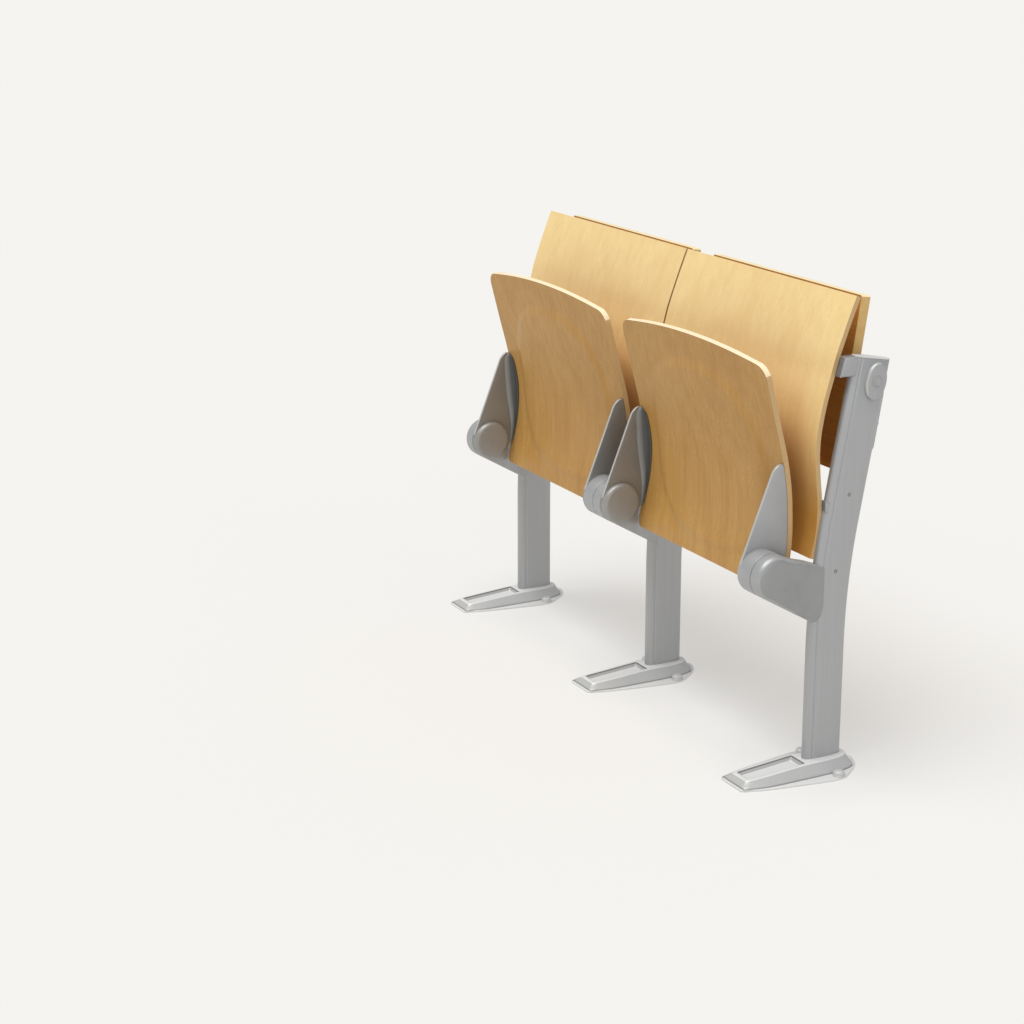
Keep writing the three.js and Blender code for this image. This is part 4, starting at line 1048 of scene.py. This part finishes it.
# Wings, drawn for the left side of a seat: X is 0 at the outer face and grows inwards
WING_TIP_Z = HUB.y + WING_TIP_RISE
WING_FOOT_Z = HUB.y - WING_FOOT_DROP


def wing_outline():
    tip_front_z = WING_TIP_Z - WING_TIP_ROUND
    tip_front = Vector((SEAT_LINE.y_at(tip_front_z) - WING_TIP_WIDTH, tip_front_z))
    to_tip = tip_front - HUB
    front = atan2(to_tip.y, to_tip.x) + acos(HUB_RADIUS / to_tip.length)
    tip_rear_z = WING_TIP_Z - WING_TIP_SETBACK / 2
    tip_rear = Vector((SEAT_LINE.y_at(tip_rear_z) - WING_TIP_SETBACK / 2, WING_TIP_Z))
    turn = Vector((tip_front.x + (tip_rear.x - tip_front.x) * 0.4, WING_TIP_Z))
    outline = [bent(tip_front, turn, tip_rear, k / 14) for k in range(15)]
    for k in range(31):
        z = tip_rear_z + (WING_FOOT_Z - tip_rear_z) * k / 30
        outline.append(Vector((SEAT_LINE.y_at(z) - FIT, z)))
    outline += arc(HUB, HUB_RADIUS, WING_HEEL_ANGLE, front - 2 * pi, 40)
    return outline


def wing_flange():
    """The flange under the seat, with a hollow fillet down to the plate."""
    inner = WING_PLATE - WING_EDGE
    rings = []
    curve = smooth_curve([Vector((share, width)) for share, width in FLANGE_WIDTH_SHARES], 8)
    for share, width in curve:
        z = WING_FOOT_Z + (WING_TIP_Z - WING_TIP_SETBACK / 2 - WING_FOOT_Z) * share
        reach = FLANGE_WIDTH * width
        radius = reach - inner
        seat = SEAT_LINE.y_at(z) - FIT
        fillet = []
        for k in range(13):
            t = pi / 2 * (1 - k / 12)
            fillet.append((reach - radius * sin(t), -FLANGE_EDGE - radius * (1 - cos(t))))
        section = [
            (WING_EDGE, -FLANGE_EDGE - radius), *fillet, (reach + 0.7, -FLANGE_EDGE + 0.6),
            (reach + 0.8, -0.8), (reach + 0.3, 0), (WING_EDGE, 0),
        ]
        rings.append([Vector((x, seat + y, z)) for x, y in section])
    return lofted(rings)


def wing_shape(sprung):
    plate = pillow_x(wing_outline(), 0, WING_PLATE, WING_EDGE, 4)
    parts = [plate, wing_flange()]
    if sprung:
        outer, inner = -(WING_GAP + HUB_SPLIT - FIT), WING_PLATE - HUB_EDGE
        parts.append(disc_shape(outer, inner, HUB_RADIUS, HUB_EDGE, HUB_EDGE))
    return together(*parts)


def rimmed_at(x, sprung):
    """The plate's front edge at a place along X gets a paler paint, a painted highlight, and a sprung hub has
    the arms' finish.
    """
    def rimmed(face):
        ahead = abs(face.normal.x) < 0.8 and face.normal.y < -0.2
        on_plate = abs(face.center.x / MM - x) < WING_PLATE and face.center.z > (HUB.y + HUB_RADIUS) * MM
        on_hub = sprung and face.center.x / MM > x + 0.5
        return 2 if on_hub else 1 if ahead and on_plate else 0

    return rimmed


def hub_cap_shape(radius):
    face = WING_PLATE + FIT
    top = face + HUB_CAP_DEPTH
    rounded = [(radius - along, top - drawn) for drawn, along in rounding(HUB_CAP_ROUND, 8)]
    crown = [(radius * share, top + HUB_CAP_CROWN * (1 - (share / 0.85) ** 2)) for share in (0.6, 0.35, 0.15)]
    base = [(0, face), (radius - 0.4, face), (radius, face + 0.4)]
    profile = [*base, *rounded, *crown, (0, top + HUB_CAP_CROWN)]
    return moved(turned(profile, 96), (0, HUB.x, HUB.y))


# Tablet hinges, drawn for the side of a post that faces +X
def knee_shape():
    def circle(part):
        z = POST_TOP - part["drop"]
        return Vector((post_y(z) + part["behind"], z)), part["radius"]

    (top, big), (low, small) = circle(KNEE_TOP), circle(KNEE_LOW)
    between = low - top
    spread = acos((big - small) / between.length)
    aim = atan2(between.y, between.x)
    outline = arc(top, big, aim + spread, aim - spread + 2 * pi, 60)
    outline += arc(low, small, aim - spread, aim + spread, 24)
    return pillow_x(outline, *KNEE_X, LEAF_EDGE)


def tablet_frame(x):
    """The frame of a tablet at rest: Y is 0 on its rear face and Z is 0 on its lower edge."""
    return leaning((x, *TABLET_PIVOT), TABLET_LEAN) @ Matrix.Translation((0, -TABLET_REACH, -TABLET_RISE))


def tablet_shape():
    half = PLACE_WIDTH / 2 - TABLET["inset"]
    corner, high, thick, edge = TABLET["corner"], TABLET["depth"], TABLET["thickness"], TABLET["edge"]
    right, top, outline = half - corner, high - corner, []
    for k, spot in enumerate(((right, corner), (right, top), (-right, top), (-right, corner))):
        outline += arc(spot, corner, pi / 2 * (k - 1), pi / 2 * k, 6)
    levels = rounded_levels(-thick, 0, edge, 3)
    return lofted([[Vector((p.x, y, p.y)) for p in inset(outline, drawn)] for drawn, y in levels])


def ear_shape():
    """A tablet bracket: an ear on the pivot and a plate on the tablet's rear face."""
    start = KNEE_X[1] + EAR["gap"]
    root, radius, rise = EAR["root"], EAR["radius"], TABLET_RISE
    far = hypot(TABLET_REACH, root)
    reach = pi - atan2(root, TABLET_REACH) - acos(radius / far)
    outline = [Vector((FIT, rise - root)), *arc((TABLET_REACH, rise), radius, -reach, reach, 28)]
    outline.append(Vector((FIT, rise + root)))
    ear = pillow_x(outline, start, start + EAR["thickness"], LEAF_EDGE)
    back, low, high = FIT + EAR["plate"], rise - EAR["half"], rise + EAR["half"]
    plate = [Vector(c) for c in ((FIT, low), (back, low), (back, high), (FIT, high))]
    return together(ear, pillow_x(plate, start, start + EAR["length"], EAR_PLATE_EDGE, 3))


# Oval covers, drawn for the side of a post that faces +X
def oval_shape():
    outer = POST_HALF[0] + OVAL["proud"]
    outline = superellipse(*OVAL["half"], 72)
    radius, proud = BOSS
    cover = pillow_x(outline, OVAL["inner"], outer, OVAL["edge"], 7)
    face, floor_x = outer + proud, outer + proud - BOSS_EDGE
    ring = [
        (0, OVAL["inner"]), (radius, OVAL["inner"]), (radius, floor_x), (radius - BOSS_EDGE, face),
        (radius - BOSS_STEP[0], face), (radius - BOSS_STEP[1], floor_x), (0, floor_x),
    ]
    z = POST_TOP - OVAL["drop"]
    return turned_by(together(cover, turned(ring, 56)), leaning((0, post_y(z) + OVAL["behind"], z), LEAN))


def oval_finish(face):
    """The step round an oval cover's boss gets a painted shade, and the cover's upper edge a painted
    highlight.
    """
    z = POST_TOP - OVAL["drop"]
    away = (face.center.yz - Vector((post_y(z) + OVAL["behind"], z)) * MM).length / MM
    upper = abs(face.normal.x) < 0.9 and face.normal.z - face.normal.y > 0.3
    if BOSS_SHADE_STEP[0] < BOSS[0] - away < BOSS_SHADE_STEP[1]:
        return 1
    return 2 if away > BOSS[0] + 2 and upper else 0


# Screws: a head standing on a face, drawn along +X with its seat at 0
def screw_shape(radius, height):
    profile = [
        (0, -1), (radius, -1), (radius, height * 0.35), (radius * 0.86, height * 0.8), (radius * 0.6, height),
        (radius * 0.46, height), (radius * 0.42, height - 0.9), (0, height - 0.9),
    ]
    return turned(profile, 28)


def facing(direction, at):
    """A frame whose X runs along a direction."""
    turn = Vector(direction).to_track_quat("X", "Z").to_matrix().to_4x4()
    return Matrix.Translation(at) @ turn


def screws(name, places, kind, body, finish=STEEL):
    """Screw heads of one kind, each at a place and facing a direction."""
    heads = [turned_by(screw_shape(*SCREW[kind]), facing(direction, at)) for at, direction in places]
    build(name, together(*heads), finish, body, (), "steel")


def beside_line(line, share, x, z, offset):
    """A place on a face beside a line, and the direction out of the face."""
    _, ahead = line.at(share)
    return (x, line.y_at(z, offset), z), (0, ahead.y, -ahead.x)


def make_post(side):
    x = POST_X[side]
    has_before, has_next = side != "left", side != "right"

    def put(name, shape, finish, slot, node, smooth=SOFT, **more):
        """Builds a piece at the post, in place of one of the post's nodes."""
        at_post = moved(shape, (x, 0, 0))
        build(f"{side}_{name}", at_post, finish, "frame", [f"{side}_{node}"], slot, smooth, **more)

    put("post_tube", post_shape(), EXTRUSION, "post_metal", "post")
    lid = turned_by(cap_shape(), top_frame(x))
    build(f"{side}_post_lid", lid, LID_GREY, "frame", [f"{side}_post_cap"], "nylon")
    finishes = [FOOT_CAST, FOOT_SHADE, FOOT_PAINTED_LIGHT, PAINTED_SHADE_SILVER]
    put("foot_casting", foot_shape(), finishes, "cast_metal", "foot", extra=foot_finishes)
    for end, sign in ENDS:
        name, anchor = f"{side}_foot_{end}_anchor", moved(anchor_shape(), (x + sign * ANCHOR_X, 0, 0))
        build(name, anchor, ANCHOR, "frame", [f"{name}_bolt"], "steel")
    finishes = [CAST, CAST if has_next else PAINTED_SHADE_SILVER]
    put("arm_casting", arm_shape(has_next), finishes, "cast_metal", "arm", paint=arm_finish)
    grooves = [HUB_SPLIT - FIT / 2] if has_before else []
    grooves += [HUB_FACE + FIT / 2] if has_next else []
    groove_shades = together(*(groove_shade_shape(x + groove) for groove in grooves))
    build(f"{side}_hub_groove_shades", groove_shades, GROOVE_SHADE_FINISH, "frame", (), "nylon")
    for kind in BRACKETS:
        bracket = bracket_shape(kind, has_next, has_before)
        put(f"{kind}_bracket", bracket, CAST, "cast_metal", f"{kind}_back_bracket")
    for end, sign in reversed(ENDS):
        if has_next if sign > 0 else has_before:
            knee = faced(knee_shape(), sign)
            put(f"{end}_knee", knee, CAST, "cast_metal", f"post_{end}_tablet_hinge")
        else:
            cover, finishes = faced(oval_shape(), sign), [CAST, PAINTED_SHADE_SILVER, LIT_RIM_SILVER]
            put("oval_plate", cover, finishes, "cast_metal", "oval_cover", CRISP, paint=oval_finish)
        spots = [((x + sign * POST_HALF[0] * 0.97, y, z), (sign, 0, 0)) for y, z in POST_SCREWS]
        screws(f"{side}_post_{end}_screws", spots, "post", "frame", SHADED_SOCKET_STEEL)


def bracket_screws(side):
    """Screws through the bracket plates into the backs."""
    ends = [sign for end, sign in ENDS if end != side]
    spots = []
    for bracket in BRACKETS.values():
        for sign in ends:
            for step in (-1, 1):
                level = bracket["z"] + step * bracket["height"] / 4
                share = (level - BACK_BOTTOM[1]) / BACK_RISE
                out = BACK_THICKNESS + FIT + BRACKET_PLATE
                spots.append(beside_line(BACK_LINE, share, POST_X[side] + sign * BRACKET_SCREW_X, level, out))
    screws(f"{side}_bracket_screws", spots, "bracket", "frame")


def make_place(side):
    x, body = PLACE_X[side], f"seat_{side}"
    shape, mapped = back_shape(x)
    finishes = [BACK_WOOD, BACK_WOOD, PLY_EDGE, LIT_PLY_TOP]
    nodes = [f"{side}_back_panel"]
    soften(build(f"{side}_back", shape, finishes, "frame", nodes, "back_plywood", FIRM, mapped), 0.5)
    shape, mapped = seat_shape(x)
    finishes = [SHADED_SEAT_WOOD, SHADED_SIT_WOOD, PLY_EDGE, LIT_PLY_TOP]
    nodes = [f"{side}_seat_panel"]
    soften(build(f"{side}_seat", shape, finishes, body, nodes, "seat_plywood", FIRM, mapped), 1.2, 3)
    reach = PLACE_WIDTH / 2 - WING_GAP
    for end, sign in ENDS:
        name, outer_x, sprung = f"{side}_seat_{end}", x + sign * reach, sign > 0
        wing = moved(faced(wing_shape(sprung), -sign), (outer_x, 0, 0))
        # Each wing is multiplied darker across its flange and fillet: a painted shade
        start, stop = ((outer_x - sign * across) * MM for across in FLANGE_SHADE_SPAN)
        # All wings but the right seat's right one take the darker, warmer copy: painted shade and a painted
        # warm reflection
        tint, shade = COOL if sprung and side == "right" else SHADED_WARM_TINTS
        finish = silver(f"{name}_fin", tint, shade, 0.40, 0.35, (start, stop, (0.3, 0.3, 0.3)))
        painted = {"slot": "cast_metal", "smooth": FIRM, "paint": rimmed_at(outer_x, sprung)}
        build(f"{name}_fin", wing, [finish, LIT_RIM_SILVER, CAST], body, [f"{name}_wing"], **painted)
        cap = faced(hub_cap_shape(SPRUNG_CAP_RADIUS if sprung else HUB_RADIUS - 0.6), -sign)
        build(f"{name}_cover", moved(cap, (outer_x, 0, 0)), WARM_CAST, body, [f"{name}_hub_cap"], "nylon")
        spots = []
        for z in (WING_FOOT_Z + rise for rise in SEAT_SCREW_RISES):
            share, screw_x = (z - SEAT_UNDER.y) / SEAT_LENGTH, x + sign * (reach - SEAT_SCREW_INSET)
            spots.append(beside_line(SEAT_LINE, share, screw_x, z, SEAT_THICKNESS))
        screws(f"{name}_screws", spots, "seat", body)


def banded_by(at):
    """The tablet's large faces have the laminate, and its rim has the edge band, with a paler copy on its
    upward faces: painted light.
    """
    facing_y = (at.to_3x3() @ Vector((0, 1, 0))).normalized()

    def banded(face):
        edge = 2 if face.normal.z > 0.3 else 1
        return 0 if abs(face.normal.dot(facing_y)) > 0.9 else edge

    return banded


def make_tablet(side):
    at, body = tablet_frame(PLACE_X[side]), f"tablet_{side}"
    board, finishes = turned_by(tablet_shape(), at), [BOARD, BOARD_EDGE, LIT_BOARD_TOP]
    painted = {"slot": "tablet_board", "smooth": FIRM, "paint": banded_by(at)}
    build(f"{side}_tablet", board, finishes, body, [f"{side}_tablet_panel"], **painted)
    for end, sign in ENDS:
        name, end_at = f"{side}_tablet_{end}", at @ Matrix.Translation((sign * PLACE_WIDTH / 2, 0, 0))
        ear = turned_by(faced(ear_shape(), -sign), end_at)
        build(f"{name}_ear", ear, CAST, body, [f"{name}_bracket"], "cast_metal", FIRM)
        inner, face = -sign * (KNEE_X[1] + EAR["length"] - TABLET_SCREW_INSET), FIT + EAR["plate"]
        spots = [
            (end_at @ Vector((inner, face, TABLET_RISE + rise)), end_at.to_3x3() @ Vector((0, 1, 0)))
            for rise in TABLET_SCREW_RISES
        ]
        screws(f"{name}_screws", spots, "tablet", body)


for post in POSTS:
    make_post(post)
    bracket_screws(post)
for place_side in SIDES:
    make_place(place_side)
    make_tablet(place_side)

# The frame's own pieces that stay: pins and springs in steel, bushes in nylon
for name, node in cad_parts.items():
    if not node.hide_render:
        for slot in node.material_slots:
            slot.material = NYLON if "bush" in name else STEEL

# A pale floor that runs past the view on every side
FLOOR_HALF = 60.0
floor_mesh = bpy.data.meshes.new("floor")
corners = [(-1, -1), (1, -1), (1, 1), (-1, 1)]
floor_mesh.from_pydata([(a * FLOOR_HALF, b * FLOOR_HALF, 0) for a, b in corners], [], [(0, 1, 2, 3)])
floor = shown("floor", floor_mesh)
paper = Nodes("floor_paper")
paper.set(Base_Color=(0.45, 0.447, 0.44), Roughness=1.0, Specular_IOR_Level=0.0)
paper.set(Emission_Color=(1.0, 0.975, 0.93), Emission_Strength=0.36)
floor_mesh.materials.append(paper.material)


# Studio light
def sun(name, towards, strength, spread, colour=(1, 1, 1)):
    """A soft sun that shines along a direction."""
    data = bpy.data.lights.new(name, "SUN")
    data.energy = strength
    data.angle = radians(spread)
    data.color = colour
    shown(name, data).rotation_euler = Vector(towards).to_track_quat("-Z", "Y").to_euler()


sun("key", (0.0, 0.32, -1.0), 2.4, 48, (1.0, 0.99, 0.97))
sun("fill", (-1.0, 0.05, -0.25), 0.6, 60)
world = bpy.data.worlds.new("studio")
world.use_nodes = True
sky = world.node_tree.nodes["Background"].inputs
sky["Color"].default_value = (0.97, 0.98, 1.0, 1)
sky["Strength"].default_value = 0.47
bpy.context.scene.world = world
bpy.context.scene.view_settings.view_transform = "Standard"

# Camera, fitted to the photograph: its place in millimetres, its turns in degrees and its lens
CAMERA = (3553.213, -2226.786, 1593.173)
AZIMUTH, FALL, ROLL = radians(62.114), radians(16.656), radians(-0.128)
SENSOR, LENS, FAR = 36, 76.566, 200
ahead = Vector((-sin(AZIMUTH) * cos(FALL), cos(AZIMUTH) * cos(FALL), -sin(FALL)))
across = Vector((cos(AZIMUTH), sin(AZIMUTH), 0))
turn = Matrix((across, across.cross(ahead), -ahead)).transposed() @ Matrix.Rotation(ROLL, 3, "Z")
view = bpy.data.cameras.new("view")
view.sensor_width, view.lens, view.clip_end = SENSOR, LENS, FAR
camera = shown("view", view)
camera.matrix_world = Matrix.Translation(Vector(CAMERA) * MM) @ turn.to_4x4()
bpy.context.scene.camera = camera
